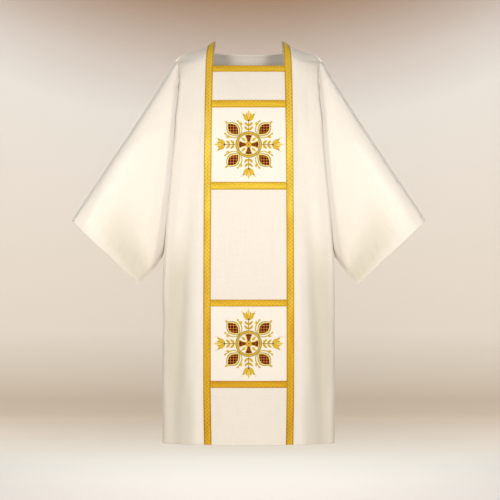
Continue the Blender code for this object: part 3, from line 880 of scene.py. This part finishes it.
def build_panels(white):
    """The two white panels, flat over their stiff backing and drawn down at their edges."""
    for name, (top, bottom) in PANELS.items():
        columns = np.linspace(-INNER + BAND_INSET, INNER - BAND_INSET, PANEL_CELLS + 1)
        drops = np.linspace(top + PANEL_INSET, bottom - PANEL_INSET, PANEL_CELLS + 1)
        column, drop = np.meshgrid(columns, drops)
        points, facing = cloth_at(column, drop, FRONT)
        across = running(points, 1)
        down = running(points, 0)
        to_edge = np.minimum(to_ends(across, 1), to_ends(down, 0))
        thickness = APPLIED * mix(PANEL_EDGE, 1, ease(to_edge / PANEL_ROUND))
        outer = points + facing * (GAP + thickness)[..., None]
        cells = np.ones((PANEL_CELLS, PANEL_CELLS), bool)
        uv = np.stack([across, -down], -1)
        grids = [outer, facing, thickness, uv, np.zeros(points.shape[:2])]
        piece = add_shell(name, "white_cloth", white, cells, grids)


SUNK = 0.00012
STRAND_SLANT = 0.35


def beside(way):
    """Unit directions to the left of these."""
    return unit(np.stack([-way[:, 1], way[:, 0]], 1))


class Stitchwork:
    """Raised stitching of one colour on one panel, gathered into one mesh of closed pads.
    Places are millimetres from the panel's middle, to the side and up."""

    def __init__(self, middle):
        self.middle = middle
        self.vertices = []
        self.uv = []
        self.faces = []
        self.count = 0

    def settle(self, spots, heights, uv):
        """Vertices at these places, this far above the panel's cloth."""
        side, up = np.asarray(spots).T * MM
        drop = self.middle - up
        braid_in = read(BRAID_LINE, "middle", drop) - BRAID_WIDTH / 2
        points, facing = cloth_at(side / braid_in * INNER, drop, FRONT)
        lift = GAP + APPLIED - SUNK + heights * MM
        self.vertices.append(points + facing * lift[:, None])
        self.uv.append(np.asarray(uv) * MM)
        start = self.count
        self.count += len(spots)
        return start

    def line(self, path, half_width, height, across=6, twist=0.0, strand=2.4):
        """A line of stitches along a path: domed, as wide as half_width says along it, and
        with strands that twist round it, if it is a cord."""
        path = np.asarray(path, float)
        closed = np.allclose(path[0], path[-1])
        if closed:
            path = path[:-1]
            way = np.roll(path, -1, axis=0) - np.roll(path, 1, axis=0)
        else:
            way = np.gradient(path, axis=0)
        half_width = np.broadcast_to(half_width, len(path))[:, None]
        height = np.broadcast_to(height, len(path))[:, None]
        along = running(path, 0)[:, None]
        t = np.cos(np.linspace(np.pi, 0, across + 1))
        over = half_width * t
        spots = path[:, None] + beside(way)[:, None] * over[..., None]
        turn = 1 + twist * np.cos(2 * np.pi * (along / strand + t * STRAND_SLANT))
        lift = height * np.sqrt(np.maximum(1 - t * t, 0)) * turn
        uv = np.stack([over, np.broadcast_to(along, over.shape)], -1)
        start = self.settle(spots.reshape(-1, 2), lift.reshape(-1), uv.reshape(-1, 2))
        width = across + 1
        size = len(path) * width
        rows = len(path) - (not closed)
        quads = cell_corners(np.ones((rows, across), bool), width)
        row = np.arange(rows) * width
        under = np.stack([row + across, row, row + width, row + width + across], 1)
        faces = np.concatenate([quads, under])[:, ::-1] % size
        self.faces.extend((faces + start).tolist())
        if not closed:
            self.faces.append([*range(start, start + width)])
            self.faces.append([*range(start + size - 1, start + size - width - 1, -1)])

    def dot(self, centre, radius, height, sides=14, rings=4):
        """A round satin pad or knot."""
        centre = np.asarray(centre)
        turn = np.linspace(0, 2 * np.pi, sides, endpoint=False)
        round_it = np.stack([np.cos(turn), np.sin(turn)], 1)
        reach = np.cos(np.linspace(0, np.pi / 2, rings + 1))[:-1]
        spots = np.concatenate([centre + radius * r * round_it for r in reach] + [[centre]])
        lift = height * np.append(np.repeat(np.sqrt(1 - reach**2), sides), 1)
        start = self.settle(spots, lift, spots)
        around = np.arange(sides)
        after = (around + 1) % sides
        wall = np.stack([around, after, after + sides, around + sides], 1)
        for low in range(start, start + sides * (rings - 1), sides):
            self.faces.extend((wall + low).tolist())
        top = start + rings * sides
        cap = np.stack([around + top - sides, after + top - sides, np.full(sides, top)], 1)
        self.faces.extend(cap.tolist())
        self.faces.append([*range(start + sides - 1, start - 1, -1)])

    def finish(self, name, material):
        """The one piece that all these stitches make."""
        vertices, uv = np.concatenate(self.vertices), np.concatenate(self.uv)
        piece = make_mesh(name, vertices, self.faces, uv, material)
        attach(piece, "root")
        return piece


def turned(spots, angle):
    """Places turned about the panel's middle, in degrees against the clock."""
    a = np.radians(angle)
    return np.asarray(spots) @ np.array([[np.cos(a), np.sin(a)], [-np.sin(a), np.cos(a)]])


def circle(radius, step=0.9):
    """A closed ring about the middle."""
    angle = np.linspace(0, 2 * np.pi, int(2 * np.pi * radius / step) + 1)
    return np.stack([np.sin(angle) * radius, np.cos(angle) * radius], 1)


def curve(*corners, step=0.8):
    """A smooth path through a few places, drawn as one Bezier curve of any order."""
    corners = np.asarray(corners, float)
    length = np.linalg.norm(np.diff(corners, axis=0), axis=1).sum()
    t = np.linspace(0, 1, max(int(length / step), 6))
    corners = corners[:, None].repeat(len(t), 1)
    while len(corners) > 1:
        corners = mix(corners[:-1], corners[1:], t[None, :, None])
    return corners[0]


def petal_width(count, widest, skew=1.0, least=0.14):
    """Half widths of a petal or leaf, pointed at both ends."""
    t = np.linspace(0, 1, count) ** skew
    return np.maximum(widest * np.sin(np.pi * t) ** 0.8, least)


def outline_of(path, half_width, beyond):
    """The closed outline round a petal, a little outside it."""
    way = np.gradient(path, axis=0)
    reach = beside(way) * (half_width + beyond)[:, None]
    tips = path[[0, -1]] + unit(way[[0, -1]]) * beyond * [[-1], [1]]
    left = path + reach
    right = path - reach
    left[[0, -1]] = tips
    right[[0, -1]] = tips
    return np.concatenate([left, right[::-1][1:]])


# Stitches in millimetres: thread, kind, half width, height, strips across, and the corners of
# the path. A line is as wide all along, a leaf and a petal are pointed, and a dot is round.
PETAL_SIDES = (
    ("pale", "line", 1.5, 0.95, 6, (4, 44), (17, 45), (26, 56), (23, 69), (28, 76)),
    ("green", "line", 0.75, 0.9, 4, (5.9, 42.7), (18.9, 43.7), (27.9, 54.7), (24.9, 67.7),
     (29.9, 74.7)),
    ("gold", "dot", 3.5, 1.3, 0, (28.4, 77.6)),
    ("gold", "leaf", 3.6, 0.95, 6, (24.5, 61), (31, 62), (34, 70)),
)
PETAL_TIP = (
    ("gold", "dot", 3.8, 1.5, 0, (0, 101.5)),
    ("green", "line", 0.9, 1, 4, (0, 96.5), (0, 99)),
)
LILY_SIDES = (
    ("gold", "leaf", 4.4, 1, 7, (0, 47), (8, 49), (13, 59)),
    ("green", "line", 0.6, 1.5, 4, (0, 47), (8, 49), (13, 59)),
    ("gold", "leaf", 4.2, 1, 7, (0, 61), (7, 63), (12.5, 72.5)),
    ("green", "line", 0.6, 1.5, 4, (0, 61), (7, 63), (12.5, 72.5)),
    ("gold", "petal", 5.2, 1.15, 8, (0, 77), (13, 80), (9, 93), (19, 99.5)),
    ("green", "line", 0.9, 0.95, 4, (1.5, 76), (16, 78), (12.5, 92), (20.5, 98.5)),
    ("gold", "petal", 4.6, 1.2, 7, (0, 79), (5.2, 87), (7, 102)),
    ("stem", "line", 0.62, 1.65, 4, (1.2, 81), (5.5, 89), (6.6, 99)),
)
LILY_HEART = (
    ("pale", "petal", 5.4, 1.35, 8, (0, 79), (0, 94), (0, 112)),
    ("stem", "line", 0.7, 1.85, 4, (0, 82), (0, 106)),
    ("red", "dot", 3.4, 1.6, 0, (0, 78)),
)
LILY_ENDS = (("pale", "dot", 2.4, 1.1, 0, (21.5, 103.5)),)
CROSS_CORNER = (
    ("gold", "leaf", 4, 1, 8, (10.5, 10.5), (16, 16), (23, 23)),
    ("green", "line", 0.4, 1.5, 4, (11.5, 11.5), (20, 20)),
)
CROSS_VEIN = (("lattice", "line", 0.38, 1.55, 4, (-5.8, 20.8), (0, 22.4), (5.8, 20.8)),)
LEAF_SKEW = {"leaf": 1.0, "petal": 0.9}
BOTH_SIDES = (-1, 1)


def stitch(work, rows, angle, sides=(1,)):
    """The stitches of these rows, turned by an angle, on the right or mirrored to the left."""
    for side in sides:
        for thread, kind, half_width, height, across, *corners in rows:
            if kind == "dot":
                centre = turned(np.multiply(corners[0], (side, 1)), angle)
                work[thread].dot(centre, half_width, height)
                continue
            path = curve(*corners) * (side, 1)
            if kind in LEAF_SKEW:
                half_width = petal_width(len(path), half_width, LEAF_SKEW[kind])
            work[thread].line(turned(path, angle), half_width, height, across)


# An arm of the cross: how far from the middle it starts and ends, its half width there and how
# late it spreads, and how its last points are rounded off.
ARM = (9, 30.5)
ARM_POINTS = 30
ARM_HALF = (3.6, 11)
ARM_SPREAD = 1.7
ARM_ROUNDED = (0.99, 0.96, 0.90)


def embroider_centre(work):
    """A small cross with spreading arms round a boss, inside corded rings."""
    arm = np.stack([np.zeros(ARM_POINTS), np.linspace(*ARM, ARM_POINTS)], 1)
    t = np.linspace(0, 1, ARM_POINTS)
    half = mix(*ARM_HALF, t**ARM_SPREAD)
    half[-len(ARM_ROUNDED):] *= ARM_ROUNDED
    for angle in range(0, 360, 90):
        work["red"].line(turned(arm, angle), half, 0.9 + 0.25 * np.sin(np.pi * t), 10)
        work["gold"].line(turned(outline_of(arm, half, 1.0), angle), 1.5, 1.1, 6, 0.10, 2.2)
        for tilt in (-4.2, 4.2):
            work["lattice"].line(turned(curve((0, 13), (0, 28.0)), tilt + angle), 0.38, 1.5, 4)
        stitch(work, CROSS_VEIN + CROSS_CORNER, angle)
    work["gold"].dot((0, 0), 8.2, 1.8, 28, 6)
    work["green"].line(circle(8.8), 0.7, 1.1, 5, 0.1)
    work["red"].dot((0, 0), 2.6, 2.6, 16)
    work["gold"].line(circle(37.6, 0.6), 2.6, 1.6, 8, 0.16, 3.4)
    work["green"].line(circle(34.3), 0.8, 0.9, 4)
    work["green"].line(circle(41.2), 1.0, 0.9, 4)


# A petal's half width and where it is widest, and the threads laid over it: the height of their
# middle, how far up and down from it they start, their spacing, how far they slant to each side,
# how near they come to the petal's edge and tips, and the fewest points of one worth its stitches.
PETAL_HALF = 14.6
PETAL_SKEW = 1.1
LATTICE_MIDDLE = 69
LATTICE_START = 38.4
LATTICE_STEP = 12.8
LATTICE_REACH = 16
LATTICE_POINTS = 65
LATTICE_INSET = 0.8
LATTICE_TIPS = (0.03, 0.97)
LATTICE_LEAST = 7


def embroider_petal(work, angle):
    """A pointed petal worked in red, with pale threads laid crosswise, a gold border and
    two scrolls."""
    path = curve((0, 47), (0, 68), (0, 93))
    half = petal_width(len(path), PETAL_HALF, PETAL_SKEW)
    work["red"].line(turned(path, angle), half, 0.9, 12)
    work["pale"].line(turned(outline_of(path, half, 1.9), angle), 2.2, 1.15, 7, 0.10, 2.6)
    work["green"].line(turned(outline_of(path, half, 4.9), angle), 1.3, 0.9, 4)
    u = np.linspace(-LATTICE_REACH, LATTICE_REACH, LATTICE_POINTS)
    low, high = LATTICE_TIPS
    for slope in BOTH_SIDES:
        for start in np.arange(-LATTICE_START, LATTICE_START + TOUCH, LATTICE_STEP):
            spots = np.stack([u, LATTICE_MIDDLE + start + slope * u], 1)
            t = (spots[:, 1] - path[0, 1]) / (path[-1, 1] - path[0, 1])
            room = np.interp(t, np.linspace(0, 1, len(half)), half) - LATTICE_INSET
            ends = spots[(low < t) & (t < high) & (np.abs(u) < room)]
            if len(ends) > LATTICE_LEAST:
                work["lattice"].line(turned(curve(ends[0], ends[-1]), angle), 0.68, 1.35, 4)
    stitch(work, PETAL_SIDES, angle, BOTH_SIDES)
    stitch(work, PETAL_TIP, angle)


def embroider_lily(work, angle):
    """A stem with leaves in pairs and an open flower of five petals."""
    work["stem"].line(turned(curve((0, 43), (0, 60), (0, 80)), angle), 1.5, 1.0, 5, 0.08)
    stitch(work, LILY_SIDES, angle, BOTH_SIDES)
    stitch(work, LILY_HEART, angle)
    stitch(work, LILY_ENDS, angle, BOTH_SIDES)


def build_embroidery(finishes):
    """The raised embroidery of both panels, one piece for each colour of thread."""
    for panel, (top, bottom) in PANELS.items():
        work = {colour: Stitchwork((top + bottom) / 2) for colour in finishes}
        embroider_centre(work)
        for angle in range(0, 360, 90):
            embroider_petal(work, 45 + angle)
            embroider_lily(work, angle)
        for colour, stitches in work.items():
            name = panel.replace("panel", "embroidery") + "_" + colour
            piece = stitches.finish(name, finishes[colour])
            colour == "gold"


class Signal:
    """What a shader node gives out, so that sums can be written as with numbers."""

    def __init__(self, socket):
        self.socket = socket

    def math(self, operation, other=0.0):
        made = self.socket.id_data.nodes.new("ShaderNodeMath")
        made.operation = operation
        feed(made.inputs[0], self)
        feed(made.inputs[1], other)
        return Signal(made.outputs[0])

    def __add__(self, other):
        return self.math("ADD", other)

    def __sub__(self, other):
        return self.math("SUBTRACT", other)

    def __mul__(self, other):
        return self.math("MULTIPLY", other)

    def __neg__(self):
        return self.math("MULTIPLY", -1.0)


def feed(socket, value):
    """Link a signal to a node's input, or write a number, a direction or a colour there."""
    if isinstance(value, Signal):
        socket.id_data.links.new(value.socket, socket)
    else:
        socket.default_value = (*value, 1) if socket.type == "RGBA" else value


class Finish:
    """A material and the nodes that give its colour and its surface."""

    def __init__(self, name, colour, roughness, **sockets):
        self.material = bpy.data.materials.new(name)
        self.material.use_nodes = True
        self.material.diffuse_color = (*colour, 1)
        self.tree = self.material.node_tree
        self.shader = self.tree.nodes["Principled BSDF"]
        feed(self.shader.inputs["Base Color"], colour)
        feed(self.shader.inputs["Roughness"], roughness)
        for socket, value in sockets.items():
            feed(self.shader.inputs[socket.replace("_", " ")], value)
        self.place = self.add("UVMap", {}, uv_map=CLOTH_MAP)[0]

    def add(self, kind, inputs, **settings):
        """The outputs of a new node, with these settings and inputs."""
        made = self.tree.nodes.new("ShaderNode" + kind)
        for setting, value in settings.items():
            setattr(made, setting, value)
        for key, value in inputs.items():
            feed(made.inputs[key], value)
        return [Signal(output) for output in made.outputs]

    def scaled(self, x, y):
        """The cloth's coordinates, scaled along each way."""
        return self.add("Mapping", {"Vector": self.place, "Scale": (x, y, 1)})[0]

    def noise(self, x, y, detail=2.0):
        """Smooth noise from 0 to 1, with this many bumps in a metre each way."""
        inputs = {"Vector": self.scaled(x, y), "Scale": 1.0, "Detail": detail}
        return self.add("TexNoise", inputs)[0]

    def split(self, place):
        """The two parts of a place, across and along the cloth."""
        return self.add("SeparateXYZ", {0: place})[:2]

    def wave(self, x, y):
        """Even ridges from 0 to 1, with x and y of them in a metre each way."""
        across, along = self.split(self.scaled(x, y))
        return ((across + along) * (2 * np.pi)).math("SINE") * 0.5 + 0.5

    def ramp(self, value, start, end):
        """0 below start, 1 above end, and a straight rise between them."""
        return self.add("MapRange", {0: value, 1: start, 2: end})[0]

    def blend(self, amount, low, high, kind="MIX"):
        """A colour between two, by an amount from 0 to 1."""
        ends = {0: amount, 6: low, 7: high}
        return self.add("Mix", ends, data_type="RGBA", clamp_factor=True, blend_type=kind)[2]

    def tint(self, amount, colour, by):
        """A colour, multiplied by another as far as an amount from 0 to 1 says."""
        return self.blend(amount, colour, by, "MULTIPLY")

    def tone(self):
        """The painted light and shade kept on the mesh."""
        return self.add("Attribute", {}, attribute_name=PAINTED_LIGHT_ATTRIBUTE)[2]

    def paint(self, colour):
        feed(self.shader.inputs["Base Color"], colour)

    def emboss(self, height, distance):
        """Small relief of the surface, this deep in metres."""
        bump = self.add("Bump", {"Height": height, "Distance": distance, "Strength": 0.6})[0]
        feed(self.shader.inputs["Normal"], bump)


# Linear colours, each with a darker and a lighter one for its threads.
CREAM = ((0.775, 0.705, 0.615), (0.725, 0.65, 0.555), (0.81, 0.75, 0.67))
WHITE = ((0.818, 0.752, 0.655), (0.792, 0.722, 0.62), (0.84, 0.78, 0.69))
GOLD = ((0.6, 0.345, 0.012), (0.43, 0.212, 0.003), (0.8, 0.54, 0.055))
CROSS_GOLD = ((0.66, 0.38, 0.01), (0.47, 0.23, 0.003), (0.82, 0.55, 0.04))
SILKS = {
    "red": ((0.1, 0.002, 0.001), (0.062, 0.001, 0.001), (0.16, 0.005, 0.003)),
    "lattice": ((0.86, 0.37, 0.045), (0.74, 0.27, 0.025), (0.92, 0.49, 0.09)),
    "gold": ((0.72, 0.43, 0.012), (0.52, 0.27, 0.004), (0.84, 0.57, 0.035)),
    "green": ((0.2, 0.17, 0.02), (0.13, 0.11, 0.012), (0.3, 0.27, 0.045)),
    "pale": ((0.86, 0.66, 0.16), (0.72, 0.5, 0.08), (0.9, 0.76, 0.28)),
    "stem": ((0.36, 0.22, 0.016), (0.24, 0.13, 0.008), (0.5, 0.33, 0.035)),
}
# Cream under its deepest painted shade and its palest painted light, and what a colour is
# multiplied by for the painted shadow under a fold, and for the painted shade and painted light
# on the braid.
CREAM_PAINTED_SHADE = (0.617, 0.565, 0.459)
CREAM_PAINTED_LIGHT = (0.81, 0.765, 0.7)
PAINTED_FOLD_SHADOW = (0.58, 0.53, 0.45)
GOLD_PAINTED_SHADE = (0.9, 0.8, 0.4)
GOLD_PAINTED_LIGHT = (1.03, 1.13, 1.45)

# Width of one thread, or of one strand of a cord.
CREAM_THREAD = 0.00065
WHITE_THREAD = 0.00045
METAL_THREAD = 0.0009
SILK_THREAD = 0.0007


def woven(finish, thread, colour, dark, light):
    """Plain weave with uneven threads: slubs along both threads, soft streaks, and slow
    changes of tone. Gives its colour, and makes its relief."""
    slubs = finish.noise(0.5 / thread, 22.0, 3.0) + finish.noise(28.0, 0.5 / thread, 3.0)
    streaks = finish.noise(240.0, 12.0) + finish.noise(15.0, 280.0)
    uneven = slubs * 0.5 + streaks * 0.6 + finish.noise(130.0, 150.0, 1.0) * 0.6
    shade = finish.blend(uneven - 0.9, dark, light)
    threads = finish.split(finish.scaled(1 / thread, 1 / thread))
    across, down = ((way * np.pi).math("SINE") for way in threads)
    weave = across * down * 0.35 + (across.math("ABSOLUTE") + down.math("ABSOLUTE")) * 0.3
    finish.emboss(streaks * 1.2 + slubs * 0.8 + weave, thread * 0.25)
    return finish.blend(finish.noise(5.0, 3.0, 3.0) * 0.5, shade, colour)


def cream_finish():
    made = Finish(
        "cream", CREAM[0], 0.82, Specular_IOR_Level=0.28, Sheen_Weight=0.12, Sheen_Roughness=0.45
    )
    # The tone kept on the mesh paints light and shade into the cream: painted shade below 0,
    # painted light above 0, and below -1 the painted shadow under the body's fold.
    tone = made.tone()
    shade = woven(made, CREAM_THREAD, *CREAM)
    shade = made.blend(tone, made.blend(-tone, shade, CREAM_PAINTED_SHADE), CREAM_PAINTED_LIGHT)
    made.paint(made.tint(-tone - 1.0, shade, PAINTED_FOLD_SHADOW))
    return made.material


def white_finish():
    made = Finish(
        "white", WHITE[0], 0.74, Specular_IOR_Level=0.32, Sheen_Weight=0.10, Sheen_Roughness=0.4
    )
    made.paint(woven(made, WHITE_THREAD, *WHITE))
    return made.material


# The braid's dark border: how far in from the edge it ends, and how far it is full. Across a
# cross braid, from its middle: the two flanks of its pale line, and that of its deeper half.
BORDER_END = 0.0036
BORDER_FULL = 0.0022
LINE_START = (-0.0014, -0.0006)
LINE_END = (0, 0.0008)
HALF_START = (-0.0002, 0.0012)


def braid_finish(name, tones, strength, halves=0.0):
    """Metal thread braid: a row of lozenges with dark middles, threads across it, darker corded
    edges, and, where halves is more than 0, one half deeper than the other with a pale line.
    Strength is how far the lozenges stand out by their tone."""
    colour, dark, light = tones
    made = Finish(name, colour, 0.55, Metallic=0.10, Specular_IOR_Level=0.15)
    threads = made.wave(0, 1 / METAL_THREAD)
    cords = made.wave(1 / CORD_STRAND, 0)
    off, along = made.split(made.place)
    beside = off.math("ABSOLUTE")
    step = along.math("PINGPONG", LOZENGE / 2) * (2 / LOZENGE)
    figure = ((beside * (1 / LOZENGE_HALF) + step) * np.pi).math("COSINE") * -0.5 + 0.5
    border = made.ramp(beside, BRAID_WIDTH / 2 - BORDER_END, BRAID_WIDTH / 2 - BORDER_FULL)
    clear = made.noise(9.0, 6.0, 1.0) * 1.5 + -0.15
    glint = (figure - 0.55) * clear * strength + threads * 0.12
    glint = glint + made.noise(330.0, 330.0, 3.0) * 1.1 + made.noise(60.0, 9.0, 2.0) * 0.9
    if halves > 0:
        line = made.ramp(off, *LINE_START) - made.ramp(off, *LINE_END)
        glint = glint + (line - made.ramp(off, *HALF_START)) * halves
    shade = made.blend(glint * 1.15 + -0.66, dark, light)
    shade = made.blend(border * 0.55, shade, dark)
    # The tone kept on the mesh multiplies in the painted shade and the painted light down the
    # braid.
    tone = made.tone()
    made.paint(made.tint(tone, made.tint(-tone, shade, GOLD_PAINTED_SHADE), GOLD_PAINTED_LIGHT))
    made.emboss(figure * 0.6 + threads * 0.5 + cords * 0.3, 0.00022)
    return made.material


def silk_finish(name, colour, dark, light):
    """Embroidery thread, laid in close satin stitches."""
    made = Finish(name, colour, 0.55, Specular_IOR_Level=0.08)
    stitches = made.wave(0, 1 / SILK_THREAD)
    lengths = made.noise(90.0, 900.0, 3.0)
    glint = stitches * 0.25 + lengths * 0.9 + made.noise(160.0, 160.0, 2.0) * 0.6
    made.paint(made.blend(glint - 0.4, dark, light))
    made.emboss(stitches + lengths, 0.00015)
    return made.material


# The backdrop: height of its floor, where its wall stands, the radius of the bend between them,
# how far its painted shade arches down on the wall behind the middle, and its painted light and
# shade by the distance along it: painted shade deepening back over the floor into the bend, and
# at the top of the wall.
FLOOR = -1.75
WALL_AT = 8.7
BEND = 1.6
PAINTED_SHADE_ARCH = 0.13
PAINTED_ARCH_SPAN = (18.0, 19.6)
SWEEP_START = (-9.0, FLOOR)
SWEEP_END = (WALL_AT, 9.0)
SWEEP_SIDE = 12.0
SWEEP_PAINTED_SHADES = (
    (11.4, (0.9, 0.86, 0.82)), (12.0, (0.815, 0.79, 0.75)), (12.8, (0.687, 0.672, 0.636)),
    (13.7, (0.563, 0.53, 0.478)), (14.4, (0.49, 0.445, 0.388)), (15.3, (0.477, 0.415, 0.351)),
    (16.0, (0.512, 0.442, 0.356)), (16.6, (0.46, 0.39, 0.31)), (17.4, (0.61, 0.55, 0.48)),
    (18.0, (0.618, 0.563, 0.499)), (19.0, (0.638, 0.608, 0.57)), (19.35, (0.538, 0.481, 0.44)),
    (19.9, (0.325, 0.215, 0.143)),
)


def build_stage():
    """A plain sweep of wall and floor, with painted light and shade by the distance along it."""
    turn = np.linspace(0, np.pi / 2, 33)
    bend = np.stack([WALL_AT - BEND + BEND * np.sin(turn), FLOOR + BEND - BEND * np.cos(turn)], 1)
    path = np.concatenate([[SWEEP_START], bend, [SWEEP_END]]).repeat(2, axis=0)
    side = np.tile([-SWEEP_SIDE, SWEEP_SIDE], len(path) // 2)
    along = running(path[None], 1)[0]
    cells = np.arange(0, len(path) - 2, 2)[:, None] + np.array([0, 1, 3, 2])
    made = Finish("backdrop", SWEEP_PAINTED_SHADES[0][1], 0.9, Specular_IOR_Level=0.1)
    off, level = made.split(made.place)
    # Painted shade: the dark top of the wall reaches lower behind the middle.
    level = level - off * off * made.ramp(level, *PAINTED_ARCH_SPAN) * PAINTED_SHADE_ARCH
    # The colour ramp paints the light and shade along the sweep.
    low, high = SWEEP_PAINTED_SHADES[0][0], SWEEP_PAINTED_SHADES[-1][0]
    tones = made.add("ValToRGB", {0: made.ramp(level, low, high)})[0]
    stops = tones.socket.node.color_ramp.elements
    for at, tone in SWEEP_PAINTED_SHADES[1:-1]:
        stops.new((at - low) / (high - low))
    for stop, (at, tone) in zip(stops, SWEEP_PAINTED_SHADES):
        stop.color = (*tone, 1)
    made.paint(tones)
    vertices = np.column_stack([side, path])
    uv = np.stack([side, along], 1)
    make_mesh("backdrop", vertices, cells, uv, made.material)


# Lamps: name, place, what it points at, size, power and the angle of its beam. Those whose
# name ends with a side have a twin, mirrored to the right.
LIGHT = (1.0, 0.985, 0.96)
ROOM_LIGHT = 0.324
LAMPS = (
    ("floor_lamp", (0.0, 4.0, 3.2), (0.0, 2.9, FLOOR), 2.4, 56, 100),
    ("key_lamp_left", (1.3, -2.7, -0.20), (0.1, 0.0, -0.60), 0.8, 34.8, 180),
    ("sleeve_lamp_left", (1.1, -2.5, -0.20), (0.58, 0.0, -0.40), 0.5, 0.66, 32),
    ("wall_lamp_left", (3.0, 5.2, 0.6), (0.3, 8.4, -0.7), 1.6, 110, 180),
    ("rear_lamp_left", (1.5, 3.3, -0.2), (0.1, 0.0, -0.60), 1.4, 9, 75),
)


def build_lights():
    world = bpy.data.worlds.new("room")
    world.use_nodes = True
    back = world.node_tree.nodes["Background"]
    back.inputs["Color"].default_value = (*LIGHT, 1)
    back.inputs["Strength"].default_value = ROOM_LIGHT
    bpy.context.scene.world = world
    for name, place, aim, size, power, beam in LAMPS:
        for side in (1, -1) if name.endswith("left") else (1,):
            data = bpy.data.lights.new(name if side > 0 else name.replace("left", "right"), "AREA")
            data.shape = "DISK"
            data.size = size
            data.energy = power
            data.color = LIGHT
            data.spread = np.radians(beam)
            lamp = add_object(data.name, data)
            lamp.location = np.multiply(place, (side, 1, 1))
            towards = Vector(np.multiply(aim, (side, 1, 1))) - lamp.location
            lamp.rotation_euler = towards.to_track_quat("-Z", "Y").to_euler()


def build_camera():
    data = bpy.data.cameras.new("camera")
    data.sensor_fit = "HORIZONTAL"
    data.sensor_width = 36
    data.lens = 157.5
    data.clip_end = 60
    camera = add_object("camera", data)
    camera.location = (0.0042, -7.13, -0.6713)
    camera.rotation_euler = (np.pi / 2, 0, 0)
    bpy.context.scene.camera = camera
    bpy.context.scene.view_settings.view_transform = "Standard"


cream = cream_finish()
build_body(cream)
build_sleeves(cream)
build_galloons(braid_finish("gold", GOLD, 0.60))
build_bands(braid_finish("cross_gold", CROSS_GOLD, 0.40, halves=0.12))
build_panels(white_finish())
build_embroidery({name: silk_finish(name + "_silk", *tones) for name, tones in SILKS.items()})
build_stage()
build_lights()
build_camera()
